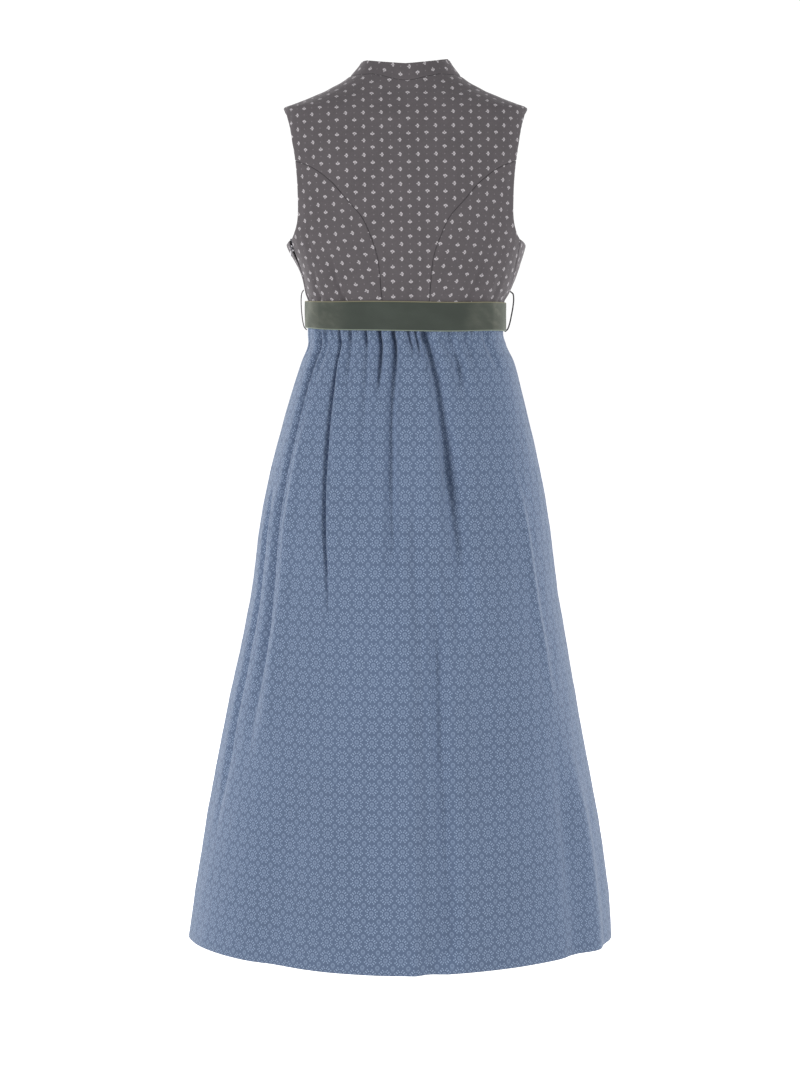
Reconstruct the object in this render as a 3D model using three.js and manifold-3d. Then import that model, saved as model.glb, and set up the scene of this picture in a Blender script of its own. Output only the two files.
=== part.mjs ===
// A sleeveless maternity dirndl, hollow, in the form it keeps when it is worn.
// A stand-collar bodice with princess seams and a side zip meets a gathered skirt under the bust,
// and a velvet ribbon belt in two thread loops covers the seam.
// Millimetres, +Z up. The back faces +Y, the front -Y, and the wearer's left is +X.
// The origin lies midway between the neck ends of the shoulder seams, where the dress hangs.
import * as THREE from "three";
import { mergeVertices } from "three/addons/utils/BufferGeometryUtils.js";
import Module from "manifold-3d";

// Cloth and seams
const BODICE_WALL = 1.6; // printed cotton with the lining that is sewn to it
const SKIRT_WALL = 1.2; // printed cotton, one layer
const COLLAR_WALL = 2; // two layers and an interlining
const SEAM_GAP = 0.3;

// Heights
const SHOULDER_TIP_Z = -40;
const WAIST_Z = -314;
const HEM_Z = -1145;

// Neck and collar: the neck hole seen from above, and the band that stands on it
const NECK = { half: 73, back: 62, front: 72 };
const COLLAR = { rise: 22.5, leanSide: 13, leanBack: 6, leanFront: 8, cornerRadius: 10, endTurn: 3, gap: 0.6 };

// Belt, thread loops, neck placket and buttons
const BELT = {
  width: 40, wall: 1.4, half: 132.1, back: 95.2, front: 105.9, forward: 2, centreZ: -314.5, tilt: 0.012, lap: 2.1,
};
const LOOP_RADIUS = 0.9;
const PLACKET = { width: 24, top: -76, bottom: -196, wall: 1.4, lift: 0.4 };
const BUTTON = { radius: 5.5, thickness: 3, heights: [-94, -130, -166] };

// Side zip: the recessed tape, and the slider with its pull tab
const ZIP = { topGap: 10, waistGap: 3.4, sink: 1.3, tapeWall: 1, overlap: 3, bottom: -296, sliderZ: -225 };
const SLIDER = { width: 4.6, depth: 2, length: 8, archWidth: 1.4, archOuter: 1.9, eye: 1.1, eyeRise: 1.7 };
const PULL = { width: 4, wall: 0.9, bar: 0.5, windowEnd: 3, windowHalf: 1.05, length: 10, tipRadius: 1.6 };

const radians = THREE.MathUtils.degToRad;
const mix = THREE.MathUtils.lerp;
const smooth = THREE.MathUtils.smoothstep;

// Reads a table of rows at any height: a monotone cubic through each column, so that no value overshoots.
function readable(names, rows) {
  const xs = rows.map((row) => row[0]);
  const slopesOf = (column) => {
    const secants = xs.slice(1).map((x, i) => (rows[i + 1][column] - rows[i][column]) / (x - xs[i]));
    return xs.map((_, i) => {
      if (i === 0) return secants[0];
      if (i === xs.length - 1) return secants[i - 1];
      const [before, after] = [secants[i - 1], secants[i]];
      return before * after <= 0 ? 0 : (2 * before * after) / (before + after);
    });
  };
  const slopes = names.map((_, column) => slopesOf(column));
  return (x) => {
    const clamped = THREE.MathUtils.clamp(x, Math.min(xs[0], xs.at(-1)), Math.max(xs[0], xs.at(-1)));
    let i = 0;
    while (i < xs.length - 2 && (clamped - xs[i + 1]) * (xs[1] - xs[0]) > 0) i += 1;
    const step = xs[i + 1] - xs[i];
    const t = (clamped - xs[i]) / step;
    const value = (column) =>
      rows[i][column] * (1 + 2 * t) * (1 - t) ** 2 +
      slopes[column][i] * step * t * (1 - t) ** 2 +
      rows[i + 1][column] * t * t * (3 - 2 * t) +
      slopes[column][i + 1] * step * t * t * (t - 1);
    return Object.fromEntries(names.map((name, column) => [name, column ? value(column) : clamped]));
  };
}

// Sections of a general figure at the bodice's outside, down from the neck.
// Columns: height, half width, reach of the back, reach of the front, and how far forward the widest line lies.
const torsoAt = readable(
  ["z", "half", "back", "front", "forward"],
  [
    [24, 60, 56, 40, 0],
    [0, 74, 58, 45, 0],
    [-4, 79, 60, 47, 0],
    [-9, 86.5, 62, 49, 0],
    [-14, 96, 64, 51, 0],
    [-20, 107, 66, 54, 0],
    [-25, 119, 69, 56, 0],
    [-30, 131, 72, 58, 0],
    [-36, 147, 75, 60, 0],
    [-41, 160, 77, 62, 0],
    [-46, 163, 80, 64, 0],
    [-60, 166, 86, 69, 2],
    [-90, 167, 95, 80, 6],
    [-120, 166, 100, 90, 10],
    [-160, 164, 103, 101, 16],
    [-200, 163, 102, 109, 20],
    [-220, 160, 101, 113, 20],
    [-245, 152.5, 99, 114, 16],
    [-265, 145.5, 97, 111, 12],
    [-284, 137, 95, 106, 6],
    [-296, 130.6, 94, 103.6, 1],
    [-340, 129, 93.4, 103.4, 0],
  ],
);

// Sections of the skirt, from the photographed outline. Columns: height, half width, sideways shift,
// reach of the back and reach of the front, which is cut fuller to leave room for the belly.
const skirtAt = readable(
  ["z", "half", "shift", "back", "front"],
  [
    [-314, 129.6, 0, 93.4, 103.6],
    [-337, 129.4, 0, 93.8, 104],
    [-350, 131, -2, 97, 109],
    [-374, 141, -3, 106, 124],
    [-413, 152.5, -2, 119, 145],
    [-451, 162.5, -1, 133, 163],
    [-513, 178, 0, 150, 185],
    [-584, 192, 1, 167, 203],
    [-683, 205, 1, 186, 220],
    [-755, 218.5, 2, 197, 230],
    [-845, 236.5, 4, 207, 240],
    [-1000, 265.5, 4, 221, 252],
    [-1090, 279, 5, 230, 259],
    [HEM_Z, 285, 7, 235, 262],
  ],
);

// Angles run from the centre back (0) past the wearer's left side (90) to the centre front (180).
// A section is a superellipse; the skirt's grows more pointed at the sides towards the hem.
const TORSO_ROUNDNESS = 2.3;
const skirtRoundnessAt = (z) => mix(2.2, 1.74, smooth(-z, -WAIST_Z, -HEM_Z));
const signedPower = (value, power) => Math.sign(value) * Math.abs(value) ** power;

function ringPoint(section, roundness, angle) {
  const [sine, cosine] = [Math.sin(radians(angle)), Math.cos(radians(angle))];
  const middle = -(section.forward ?? 0);
  const reach = cosine >= 0 ? section.back - middle : section.front + middle;
  return new THREE.Vector3(
    section.half * signedPower(sine, 2 / roundness) + (section.shift ?? 0),
    middle + reach * signedPower(cosine, 2 / roundness),
    section.z,
  );
}

// A signed angle difference between -180 and 180.
const turnBetween = (angle, other) => THREE.MathUtils.euclideanModulo(angle - other + 180, 360) - 180;

// Folds are valleys pressed into a form, or ridges where the depth is negative.
// Columns: angle at the top and at the lower end, heights of both ends, depth,
// half width at both ends, and the share of its length over which it comes in and goes out.
const foldsFrom = (rows) =>
  rows.map(([from, to, top, end, depth, wideTop, wideEnd, comesIn, goesOut]) => ({
    from, to, top, end, depth, wideTop, wideEnd, comesIn, goesOut,
  }));

function foldDepth(folds, angle, z, mmPerDegree) {
  let total = 0;
  for (const fold of folds) {
    const t = (fold.top - z) / (fold.top - fold.end);
    if (t < 0 || t > 1) continue;
    const off = turnBetween(angle, mix(fold.from, fold.to, t)) * mmPerDegree;
    const wide = mix(fold.wideTop, fold.wideEnd, t);
    const share = smooth(t, 0, fold.comesIn + 1e-6) * (1 - smooth(t, 1 - fold.goesOut, 1));
    total += fold.depth * share * Math.exp(-((off / wide) ** 2));
  }
  return total;
}

const BODICE_FOLDS = foldsFrom([
  [38, 34.5, -222, -316, 4.5, 7, 4.5, 0.5, 0.06], // creases that run up from the belt, back
  [57, 55, -262, -316, 3.5, 5, 5, 0.6, 0.06],
  [-39, -35, -215, -316, 3, 8, 6, 0.5, 0.06],
  [-56, -57, -250, -316, 2.5, 6, 6, 0.5, 0.06],
  [-12, -3.5, -165, -308, 3, 11, 8, 0.4, 0.2], // drag line beside the right back seam
  [0, 0, -52, -96, 2, 70, 70, 0.5, 0.5], // soft hollow under the collar
  [138, 146, -262, -316, 3, 6, 5, 0.5, 0.06], // the same kind of crease under each cup
  [-138, -147, -266, -316, 3, 6, 5, 0.5, 0.06],
]);

const BACK_FOLDS = [
  [61, 57, -318, -910, 10, 5, 9, 0.04, 0.35], // long fold down the left back
  [52, 50, -400, -960, -5, 8, 16, 0.25, 0.4],
  [52, 53, -318, -410, 4, 3.6, 5, 0.2, 0.5],
  [40.9, 27.6, -318, -650, 10, 3.6, 7, 0.06, 0.45], // sharp valley
  [33.2, 29, -318, -430, 4, 3.6, 5, 0.15, 0.5],
  [22.5, 13.3, -318, -610, 5, 3.8, 9, 0.08, 0.5],
  [14.1, 12, -318, -440, 7, 3.8, 6, 0.15, 0.4],
  [6.4, 3.5, -318, -730, 9, 4, 10, 0.05, 0.4],
  [-0.5, -2, -318, -370, 4, 3.2, 3.4, 0.25, 0.5],
  [-4, -6.2, -318, -378, 4.5, 3.2, 3.6, 0.25, 0.5],
  [-9, -20, -318, -590, 13, 4.2, 12, 0.08, 0.3], // the deepest, leaning to the right
  [-12.6, -20.7, -585, -760, 5, 8, 10, 0.35, 0.5],
  [-2.7, -9.6, -500, HEM_Z, 8, 8, 18, 0.2, 0], // down to the hem
  [-22.7, -28, -318, -430, 6, 4.6, 8, 0.15, 0.5],
  [-33, -36, -318, -390, 3.5, 4, 5, 0.25, 0.5],
  [-51, -54, -318, -400, 4, 5, 7, 0.2, 0.5],
  [-27.4, -28, -730, -1010, 5, 20, 26, 0.4, 0.4],
  [-50.8, -60, -490, -850, -4, 6, 8, 0.3, 0.4],
  [-66, -66, -860, HEM_Z, -7, 14, 20, 0.5, 0],
  [-57, -56, -840, HEM_Z, 5, 12, 18, 0.5, 0],
  [71, 70, -520, -1010, 7, 6, 9, 0.2, 0.3],
  [33, 38, -800, HEM_Z, 6, 24, 40, 0.5, 0],
];

// The hidden front hangs from like gathers, spread over the middle of the waist, and in soft folds to the hem.
const FRONT_GATHERS = 15;
const frontGather = (i) => {
  const waistAngle = 112 + (i * 136) / (FRONT_GATHERS - 1) + 2 * Math.sin(i * 2.4);
  const lower = 180 + (waistAngle - 180) * 0.86;
  const reach = 110 + 210 * Math.abs(Math.sin(i * 1.7));
  return [waistAngle, lower, -318, -318 - reach, 5 + 4 * Math.sin(i * 1.1) ** 2, 4, 8, 0.1, 0.45];
};
const SKIRT_FOLDS = foldsFrom([
  ...BACK_FOLDS,
  ...Array.from({ length: FRONT_GATHERS }, (_, i) => frontGather(i)),
  [128, 124, -440, HEM_Z, 9, 12, 26, 0.3, 0],
  [158, 156, -500, HEM_Z, 8, 14, 30, 0.3, 0],
  [196, 201, -470, HEM_Z, 9, 13, 28, 0.3, 0],
  [229, 235, -450, HEM_Z, 9, 12, 26, 0.3, 0],
]);

// The cups: each bust seam is shaped over one.
const CUP = { x: 82, z: -242, height: 20, wide: 50, tall: 46, foot: -282 };
// Under the left arm the zip pulls the side in a little.
const ZIP_DENT = { angle: 88, z: -258, depth: 9.5, wide: 26, tall: 30 };

const hill = (dx, dy) => Math.exp(-(dx * dx + dy * dy));

function bodicePoint(angle, z) {
  const section = torsoAt(z);
  const point = ringPoint(section, TORSO_ROUNDNESS, angle);
  const mmPerDegree = (section.half * Math.PI) / 180;
  const inward = new THREE.Vector3(-point.x / section.half, -point.y / section.back, 0).normalize();
  const dent = ZIP_DENT.depth *
    hill(turnBetween(angle, ZIP_DENT.angle) / ZIP_DENT.wide, (z - ZIP_DENT.z) / ZIP_DENT.tall);
  point.addScaledVector(inward, foldDepth(BODICE_FOLDS, angle, z, mmPerDegree) + dent);
  if (Math.cos(radians(angle)) < 0) {
    point.y -= CUP.height * hill((Math.abs(point.x) - CUP.x) / CUP.wide, (z - CUP.z) / CUP.tall) *
      Math.min(1, -2 * Math.cos(radians(angle))) * smooth(z, CUP.foot, CUP.z);
  }
  return point;
}

function skirtPoint(angle, z) {
  const section = skirtAt(z);
  const point = ringPoint(section, skirtRoundnessAt(z), angle);
  const mmPerDegree = (Math.PI * (section.half + section.back)) / 360;
  const inward = new THREE.Vector3(-(point.x - section.shift) / section.half, -point.y / section.back, 0);
  return point.addScaledVector(inward.normalize(), foldDepth(SKIRT_FOLDS, angle, z, mmPerDegree));
}

// The outward direction of a form at an angle and height. It turns level near the waist seam,
// so that the bodice and the skirt meet there edge to edge.
function outward(form, angle, z) {
  const [turn, lift] = [0.35, 1.2];
  const across = form(angle + turn, z).sub(form(angle - turn, z));
  const up = form(angle, z + lift).sub(form(angle, z - lift));
  const normal = up.cross(across).normalize();
  normal.z *= smooth(Math.abs(z - WAIST_Z), 1, 12);
  return normal.normalize();
}

const at = (angle, z) => ({ angle, z });

// A curve on the form through a few places, sampled at n + 1 evenly spaced points.
function curveThrough(places, n) {
  const curve = new THREE.CatmullRomCurve3(
    places.map((p) => new THREE.Vector3(p.angle, p.z, 0)), false, "centripetal");
  return curve.getSpacedPoints(n).map((p) => at(p.x, p.y));
}

// Moves a curve's points sideways on the form by a distance in mm, to leave the gap of a seam.
function shifted(form, curve, distance) {
  return curve.map((p, i) => {
    const scale = form(p.angle + 0.5, p.z).distanceTo(form(p.angle - 0.5, p.z));
    const [before, after] = [curve[Math.max(i - 1, 0)], curve[Math.min(i + 1, curve.length - 1)]];
    const along = new THREE.Vector2((after.angle - before.angle) * scale, after.z - before.z).normalize();
    return at(p.angle + (distance * along.y) / scale, p.z - distance * along.x);
  });
}

// A four-sided grid between its edges: bottom and top run left to right, left and right run up.
function grid(bottom, top, left, right) {
  const [columns, rows] = [bottom.length - 1, left.length - 1];
  const blend = (key, u, v, i, j) =>
    mix(bottom[i][key], top[i][key], v) + mix(left[j][key], right[j][key], u) -
    mix(mix(bottom[0][key], bottom[columns][key], u), mix(top[0][key], top[columns][key], u), v);
  return left.map((_, j) =>
    bottom.map((__, i) => {
      const [u, v] = [i / columns, j / rows];
      return at(blend("angle", u, v, i, j), blend("z", u, v, i, j));
    }));
}

// A closed wall from a grid of outer points and a like grid of inner points.
function wallBetween(outer, inner) {
  const [rows, columns] = [outer.length, outer[0].length];
  const positions = [...outer.flat(), ...inner.flat()].flatMap((p) => [p.x, p.y, p.z]);
  const [front, back] = [(j, i) => j * columns + i, (j, i) => (rows + j) * columns + i];
  const index = [];
  const quad = (a, b, c, d) => index.push(a, b, c, a, c, d);
  for (let j = 0; j < rows - 1; j += 1) {
    for (let i = 0; i < columns - 1; i += 1) {
      quad(front(j, i), front(j, i + 1), front(j + 1, i + 1), front(j + 1, i));
      quad(back(j, i), back(j + 1, i), back(j + 1, i + 1), back(j, i + 1));
    }
  }
  for (let i = 0; i < columns - 1; i += 1) {
    quad(front(0, i + 1), front(0, i), back(0, i), back(0, i + 1));
    quad(front(rows - 1, i), front(rows - 1, i + 1), back(rows - 1, i + 1), back(rows - 1, i));
  }
  for (let j = 0; j < rows - 1; j += 1) {
    quad(front(j, 0), front(j + 1, 0), back(j + 1, 0), back(j, 0));
    quad(front(j + 1, columns - 1), front(j, columns - 1), back(j, columns - 1), back(j + 1, columns - 1));
  }
  const geometry = new THREE.BufferGeometry();
  geometry.setAttribute("position", new THREE.Float32BufferAttribute(positions, 3));
  geometry.setIndex(index);
  return geometry;
}

// Cloth on a form: the outer face lifted off it, the inner face one wall deeper. Angles fall from left to right,
// as seen from outside the back, so that the faces point out.
function clothOn(form, places, wall, lift = 0) {
  const layer = (depth) => places.map((row) =>
    row.map((p) => form(p.angle, p.z).addScaledVector(outward(form, p.angle, p.z), lift - depth)));
  return wallBetween(layer(0), layer(wall));
}

const mirrored = (curve) => curve.map((p) => at(-p.angle, p.z));
const reversed = (curve) => [...curve].reverse();

const dress = new THREE.Group();
const cloth = (color) => new THREE.MeshStandardMaterial({ color, roughness: 0.9, metalness: 0 });
const BODICE_CLOTH = cloth(0x625e61);
const SKIRT_CLOTH = cloth(0x6f81a0);
const BELT_VELVET = cloth(0x4b5149);
const LOOP_THREAD = cloth(0x4a494b);
const ZIP_TAPE = cloth(0x3d3b42);
const BUTTON_HORN = new THREE.MeshStandardMaterial({ color: 0x4a4440, roughness: 0.45, metalness: 0 });
const ZIP_METAL = new THREE.MeshStandardMaterial({ color: 0x8d8a90, roughness: 0.35, metalness: 1 });

function add(name, geometry, material, parent = dress) {
  const mesh = new THREE.Mesh(geometry, material);
  mesh.name = name;
  parent.add(mesh);
  return mesh;
}

// Bodice seams and edges, on the wearer's left. Each is a curve that runs up.
const SEAM_STEPS = 11;
const ARMHOLE_STEPS = 5;
const SHOULDER_STEPS = 5;

// The angle at which a ring reaches a distance from the middle.
const angleOf = (x, z) => {
  const share = Math.min(1, x / torsoAt(z).half);
  return THREE.MathUtils.radToDeg(Math.asin(share ** (TORSO_ROUNDNESS / 2)));
};
const fromBehind = (x, z) => at(angleOf(x, z), z);
const fromBefore = (x, z) => at(180 - angleOf(x, z), z);
const waistEdge = WAIST_Z + SEAM_GAP / 2;

const backSeam = curveThrough(
  [[31, waistEdge], [33, -265], [37, -235], [46, -209], [57, -186], [77, -163], [95, -142], [116, -125],
    [131, -117], [144.5, -112]].map(([x, z]) => fromBehind(x, z)), SEAM_STEPS);
const frontSeam = curveThrough(
  [[60, waistEdge], [71, -280], [81, -245], [88, -215], [100, -180], [118, -150], [132, -134],
    [139, -127]].map(([x, z]) => fromBefore(x, z)), SEAM_STEPS);
const sideSeam = curveThrough([at(80, waistEdge), at(78, -290), at(74, -262), at(69.5, -236), at(67, -213)], 7);

// The armhole, in pieces between the seams that meet it.
const tip = at(90, SHOULDER_TIP_Z);
const backArmholeTop = curveThrough(
  [backSeam.at(-1), at(62.5, -96), at(67.6, -66), at(74.5, -49), tip], ARMHOLE_STEPS);
const backArmholeLow = curveThrough(
  [sideSeam.at(-1), at(62.5, -206), at(58.4, -190), at(57.6, -155), at(58.6, -130), backSeam.at(-1)], 8);
const frontArmholeTop = curveThrough(
  [frontSeam.at(-1), at(117, -96), at(110, -66), at(103, -50), tip], ARMHOLE_STEPS);
const frontArmholeLow = (start) => curveThrough(
  [start, at(84, -219), at(98, -218.5), at(111, -208), at(118, -188), at(121.5, -160), frontSeam.at(-1)], 8);

// The shoulder seam lies where each section is widest, from the tip up to the neck.
const shoulder = Array.from({ length: SHOULDER_STEPS + 1 }, (_, i) =>
  at(90, mix(SHOULDER_TIP_Z, 0, (i / SHOULDER_STEPS) ** 0.9)));

// The place where an upright line at a point of the neck hole meets the form.
function neckPlace(turn) {
  const [sine, cosine] = [Math.sin(radians(turn)), Math.cos(radians(turn))];
  const [x, y] = [NECK.half * Math.abs(sine), (cosine >= 0 ? NECK.back : NECK.front) * cosine];
  let [low, high] = [-120, 0];
  for (let i = 0; i < 40; i += 1) {
    const z = (low + high) / 2;
    const section = torsoAt(z);
    const reach = cosine >= 0 ? section.back : section.front;
    const inside = (x / section.half) ** TORSO_ROUNDNESS + (Math.abs(y) / reach) ** TORSO_ROUNDNESS < 1;
    if (inside) low = z;
    else high = z;
  }
  return cosine >= 0 ? fromBehind(x, low) : fromBefore(x, low);
}

const NECK_STEPS = 10;
const neckEdge = (from, to, n) => Array.from({ length: n + 1 }, (_, i) => neckPlace(mix(from, to, i / n)));
const halfGap = SEAM_GAP / 2;
const onBodice = (curve, distance) => shifted(bodicePoint, curve, distance);

// Centre back: one panel on the fold, from the waist to the collar.
{
  const seamSide = onBodice(backSeam, -halfGap);
  const left = [...seamSide, ...backArmholeTop.slice(1), ...onBodice(shoulder, -halfGap).slice(1)];
  const top = neckEdge(90, 0, NECK_STEPS);
  const topEdge = [left.at(-1), ...top.slice(1), ...reversed(mirrored(top)).slice(1, -1), mirrored(left).at(-1)];
  const bottom = topEdge.map((_, i) => at(mix(left[0].angle, -left[0].angle, i / (2 * NECK_STEPS)), waistEdge));
  add("bodice_centre_back", clothOn(bodicePoint, grid(bottom, topEdge, left, mirrored(left)), BODICE_WALL),
    BODICE_CLOTH);
}

// Side backs: between the back seam and the side seam, under the armhole.
const PANEL_COLUMNS = 8;
const level = (from, to, n) =>
  Array.from({ length: n + 1 }, (_, i) => at(mix(from.angle, to.angle, i / n), mix(from.z, to.z, i / n)));
{
  const inner = onBodice(backSeam, halfGap);
  const outer = onBodice(curveThrough(sideSeam, SEAM_STEPS), -halfGap);
  const top = [outer.at(-1), ...backArmholeLow.slice(1, -1), inner.at(-1)];
  const bottom = level(outer[0], inner[0], PANEL_COLUMNS);
  add("bodice_side_back_left", clothOn(bodicePoint, grid(bottom, top, outer, inner), BODICE_WALL), BODICE_CLOTH);
  const right = grid(reversed(mirrored(bottom)), reversed(mirrored(top)), mirrored(inner), mirrored(outer));
  add("bodice_side_back_right", clothOn(bodicePoint, right, BODICE_WALL), BODICE_CLOTH);
}

// Fronts: a centre panel each side of the centre front seam, and a side panel with the cup's fullness.
// On the left the side front stops short of the side seam, because the zip lies between.
const widthAt = (form, place) => form(place.angle + 0.5, place.z).distanceTo(form(place.angle - 0.5, place.z));
const zipGapAt = (z) => mix(ZIP.waistGap, ZIP.topGap, smooth(z, ZIP.bottom, sideSeam.at(-1).z));
const zipFrontEdge = sideSeam.map((p) => at(p.angle + zipGapAt(p.z) / widthAt(bodicePoint, p), p.z - 2));
zipFrontEdge[0].z = waistEdge;
for (const side of ["left", "right"]) {
  const onSide = side === "left" ? (curve) => curve : (curve) => mirrored(curve);
  const order = side === "left" ? (b, t, l, r) => grid(b, t, l, r)
    : (b, t, l, r) => grid(reversed(b), reversed(t), r, l);
  const seam = frontSeam;
  const centre = [...onBodice(seam, halfGap), ...frontArmholeTop.slice(1), ...onBodice(shoulder, halfGap).slice(1)];
  const centreTop = neckEdge(180, 90, NECK_STEPS);
  const middle = level(at(180, waistEdge), at(180, centreTop[0].z), centre.length - 1);
  const middleEdge = onBodice(middle, -halfGap);
  centreTop[0] = middleEdge.at(-1);
  centreTop[NECK_STEPS] = centre.at(-1);
  const centreBottom = level(middleEdge[0], centre[0], NECK_STEPS);
  add(`bodice_centre_front_${side}`,
    clothOn(bodicePoint, order(onSide(centreBottom), onSide(centreTop), onSide(middleEdge), onSide(centre)),
      BODICE_WALL), BODICE_CLOTH);

  const sideCurve = side === "left" ? zipFrontEdge : onBodice(sideSeam, halfGap);
  const back = curveThrough(sideCurve, SEAM_STEPS);
  const frontSide = onBodice(seam, -halfGap);
  const armhole = frontArmholeLow(back.at(-1));
  const top = [frontSide.at(-1), ...reversed(armhole).slice(1)];
  const bottom = level(frontSide[0], back[0], PANEL_COLUMNS);
  add(`bodice_side_front_${side}`,
    clothOn(bodicePoint, order(onSide(bottom), onSide(top), onSide(frontSide), onSide(back)), BODICE_WALL),
    BODICE_CLOTH);
}

// Stand collar: a band round the neck that leans in as it rises and stops short of the centre front.
{
  const end = 180 - COLLAR.endTurn;
  const ring = Array.from({ length: 4 * NECK_STEPS + 1 }, (_, i) => {
    const turn = THREE.MathUtils.clamp(180 - (i * 90) / NECK_STEPS, -end, end);
    const place = neckPlace(turn);
    const angle = turn < 0 ? -place.angle : place.angle;
    return { turn, foot: bodicePoint(angle, place.z) };
  });
  const out = (turn) => new THREE.Vector3(Math.sin(radians(turn)), Math.cos(radians(turn)), 0);
  const lean = (turn) => {
    const cosine = Math.cos(radians(turn));
    return mix(COLLAR.leanSide, cosine > 0 ? COLLAR.leanBack : COLLAR.leanFront, cosine * cosine);
  };
  const heightAt = (turn) => {
    const fromEnd = (end - Math.abs(turn)) * 1.25; // about 1.25 mm of band to a degree
    const cut = Math.max(0, COLLAR.cornerRadius - fromEnd);
    return COLLAR.rise - COLLAR.cornerRadius + Math.sqrt(COLLAR.cornerRadius ** 2 - cut ** 2);
  };
  const layer = (inset) => [0, 0.5, 1].map((share) =>
    ring.map(({ turn, foot }) => foot.clone()
      .addScaledVector(out(turn), -inset - share * lean(turn))
      .add(new THREE.Vector3(0, 0, COLLAR.gap + share * heightAt(turn)))));
  add("collar", wallBetween(layer(0), layer(COLLAR_WALL)), BODICE_CLOTH);
}

// Neck placket over the slit at the centre front, with its buttons: the collar couldn't pass a head without it.
{
  const halfTurn = (z) => PLACKET.width / 2 / widthAt(bodicePoint, at(172, z));
  const rows = Array.from({ length: 7 }, (_, j) => mix(PLACKET.bottom, PLACKET.top, j / 6));
  const places = rows.map((z) => [-1, -0.5, 0, 0.5, 1].map((side) => at(180 - side * halfTurn(z), z)));
  add("neck_placket",
    clothOn(bodicePoint, places, PLACKET.wall, PLACKET.lift + PLACKET.wall), BODICE_CLOTH);
  const outline = [
    [0, 0], [BUTTON.radius, 0], [BUTTON.radius, BUTTON.thickness * 0.5], [BUTTON.radius * 0.75, BUTTON.thickness],
    [BUTTON.radius * 0.5, BUTTON.thickness * 0.72], [0, BUTTON.thickness * 0.6],
  ].map(([x, y]) => new THREE.Vector2(x, y));
  BUTTON.heights.forEach((z, i) => {
    const button = add(`button_${i + 1}`, new THREE.LatheGeometry(outline, 16), BUTTON_HORN);
    const normal = outward(bodicePoint, 180, z);
    button.position.copy(bodicePoint(180, z)).addScaledVector(normal, PLACKET.lift + PLACKET.wall + SEAM_GAP);
    button.quaternion.setFromUnitVectors(new THREE.Vector3(0, 1, 0), normal);
  });
}

// Skirt: a back and a front panel, gathered into the waist and joined at the sides.
const skirtSideAt = (z) => mix(80, 87, smooth(-z, -WAIST_Z, 700));
const skirtRows = (n) =>
  Array.from({ length: n + 1 }, (_, j) => mix(HEM_Z, WAIST_Z - halfGap, 1 - (1 - j / n) ** 1.75));
function skirtPanel(columns, rows, edges) {
  return skirtRows(rows).map((z) => {
    const [left, right] = edges(z);
    const trim = halfGap / widthAt(skirtPoint, at(left, z));
    return Array.from({ length: columns + 1 }, (_, i) => at(mix(left - trim, right + trim, i / columns), z));
  });
}
add("skirt_back", clothOn(skirtPoint, skirtPanel(72, 14, (z) => [skirtSideAt(z), -skirtSideAt(z)]), SKIRT_WALL),
  SKIRT_CLOTH);
add("skirt_front", clothOn(skirtPoint, skirtPanel(52, 14, (z) => [360 - skirtSideAt(z), skirtSideAt(z)]),
  SKIRT_WALL), SKIRT_CLOTH);

// Ribbon belt: once round the waist, its outer end lapped over the inner one at the centre front.
{
  const LAP_ANGLE = 9;
  const turns = Array.from({ length: 61 }, (_, i) => mix(180 + LAP_ANGLE, -180 - LAP_ANGLE, i / 60));
  const ribbonPoint = (angle, edge, depth) => {
    const point = ringPoint({ ...BELT, z: BELT.centreZ + (edge * BELT.width) / 2 }, TORSO_ROUNDNESS, angle);
    const normal = new THREE.Vector3(point.x / BELT.half ** 2, point.y / BELT.back ** 2, 0).normalize();
    const lapped = BELT.lap * smooth(-angle, 140, 180 - LAP_ANGLE);
    point.addScaledVector(normal, BELT.wall - depth + lapped);
    point.z += BELT.tilt * point.x;
    return point;
  };
  const layer = (depth) => [-1, 1].map((edge) => turns.map((angle) => ribbonPoint(angle, edge, depth)));
  add("belt", wallBetween(layer(0), layer(BELT.wall)), BELT_VELVET);
}

// Thread loops: one at each side, from just above the belt to just below it.
const LOOP_PATHS = {
  left: [[134.6, -279], [136.2, -284], [137, -291], [137.2, -305], [136.6, -320], [135.3, -330], [134, -334.5],
    [131.4, -338]],
  right: [[-139.8, -280], [-141, -285], [-140.6, -292], [-139.2, -306], [-137.8, -320], [-135.8, -331],
    [-134.8, -336.6], [-132.4, -340.5]],
};
const LOOP_Y = 6;
for (const [side, places] of Object.entries(LOOP_PATHS)) {
  const path = new THREE.CatmullRomCurve3(places.map(([x, z]) => new THREE.Vector3(x, LOOP_Y, z)));
  const section = new THREE.Shape(Array.from({ length: 6 }, (_, i) =>
    new THREE.Vector2(LOOP_RADIUS * Math.cos((i * Math.PI) / 3), LOOP_RADIUS * Math.sin((i * Math.PI) / 3))));
  add(`belt_loop_${side}`, new THREE.ExtrudeGeometry(section, { steps: 14, extrudePath: path }), LOOP_THREAD);
}

// Zip tape: recessed behind the gap between the left side back and the left side front.
const zipBackEdge = sideSeam.filter((p) => p.z > ZIP.bottom);
{
  const depth = ZIP.sink + BODICE_WALL;
  const places = [at(79, ZIP.bottom), ...zipBackEdge].map((p) => {
    const gap = zipGapAt(p.z);
    const perDegree = widthAt(bodicePoint, p);
    const [first, last] = [p.angle - ZIP.overlap / perDegree, p.angle + (gap + ZIP.overlap) / perDegree];
    return [0, 1 / 3, 2 / 3, 1].map((share) => at(mix(last, first, share), p.z));
  });
  add("zip_tape", clothOn(bodicePoint, places, ZIP.tapeWall, -depth), ZIP_TAPE);
}

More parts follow.
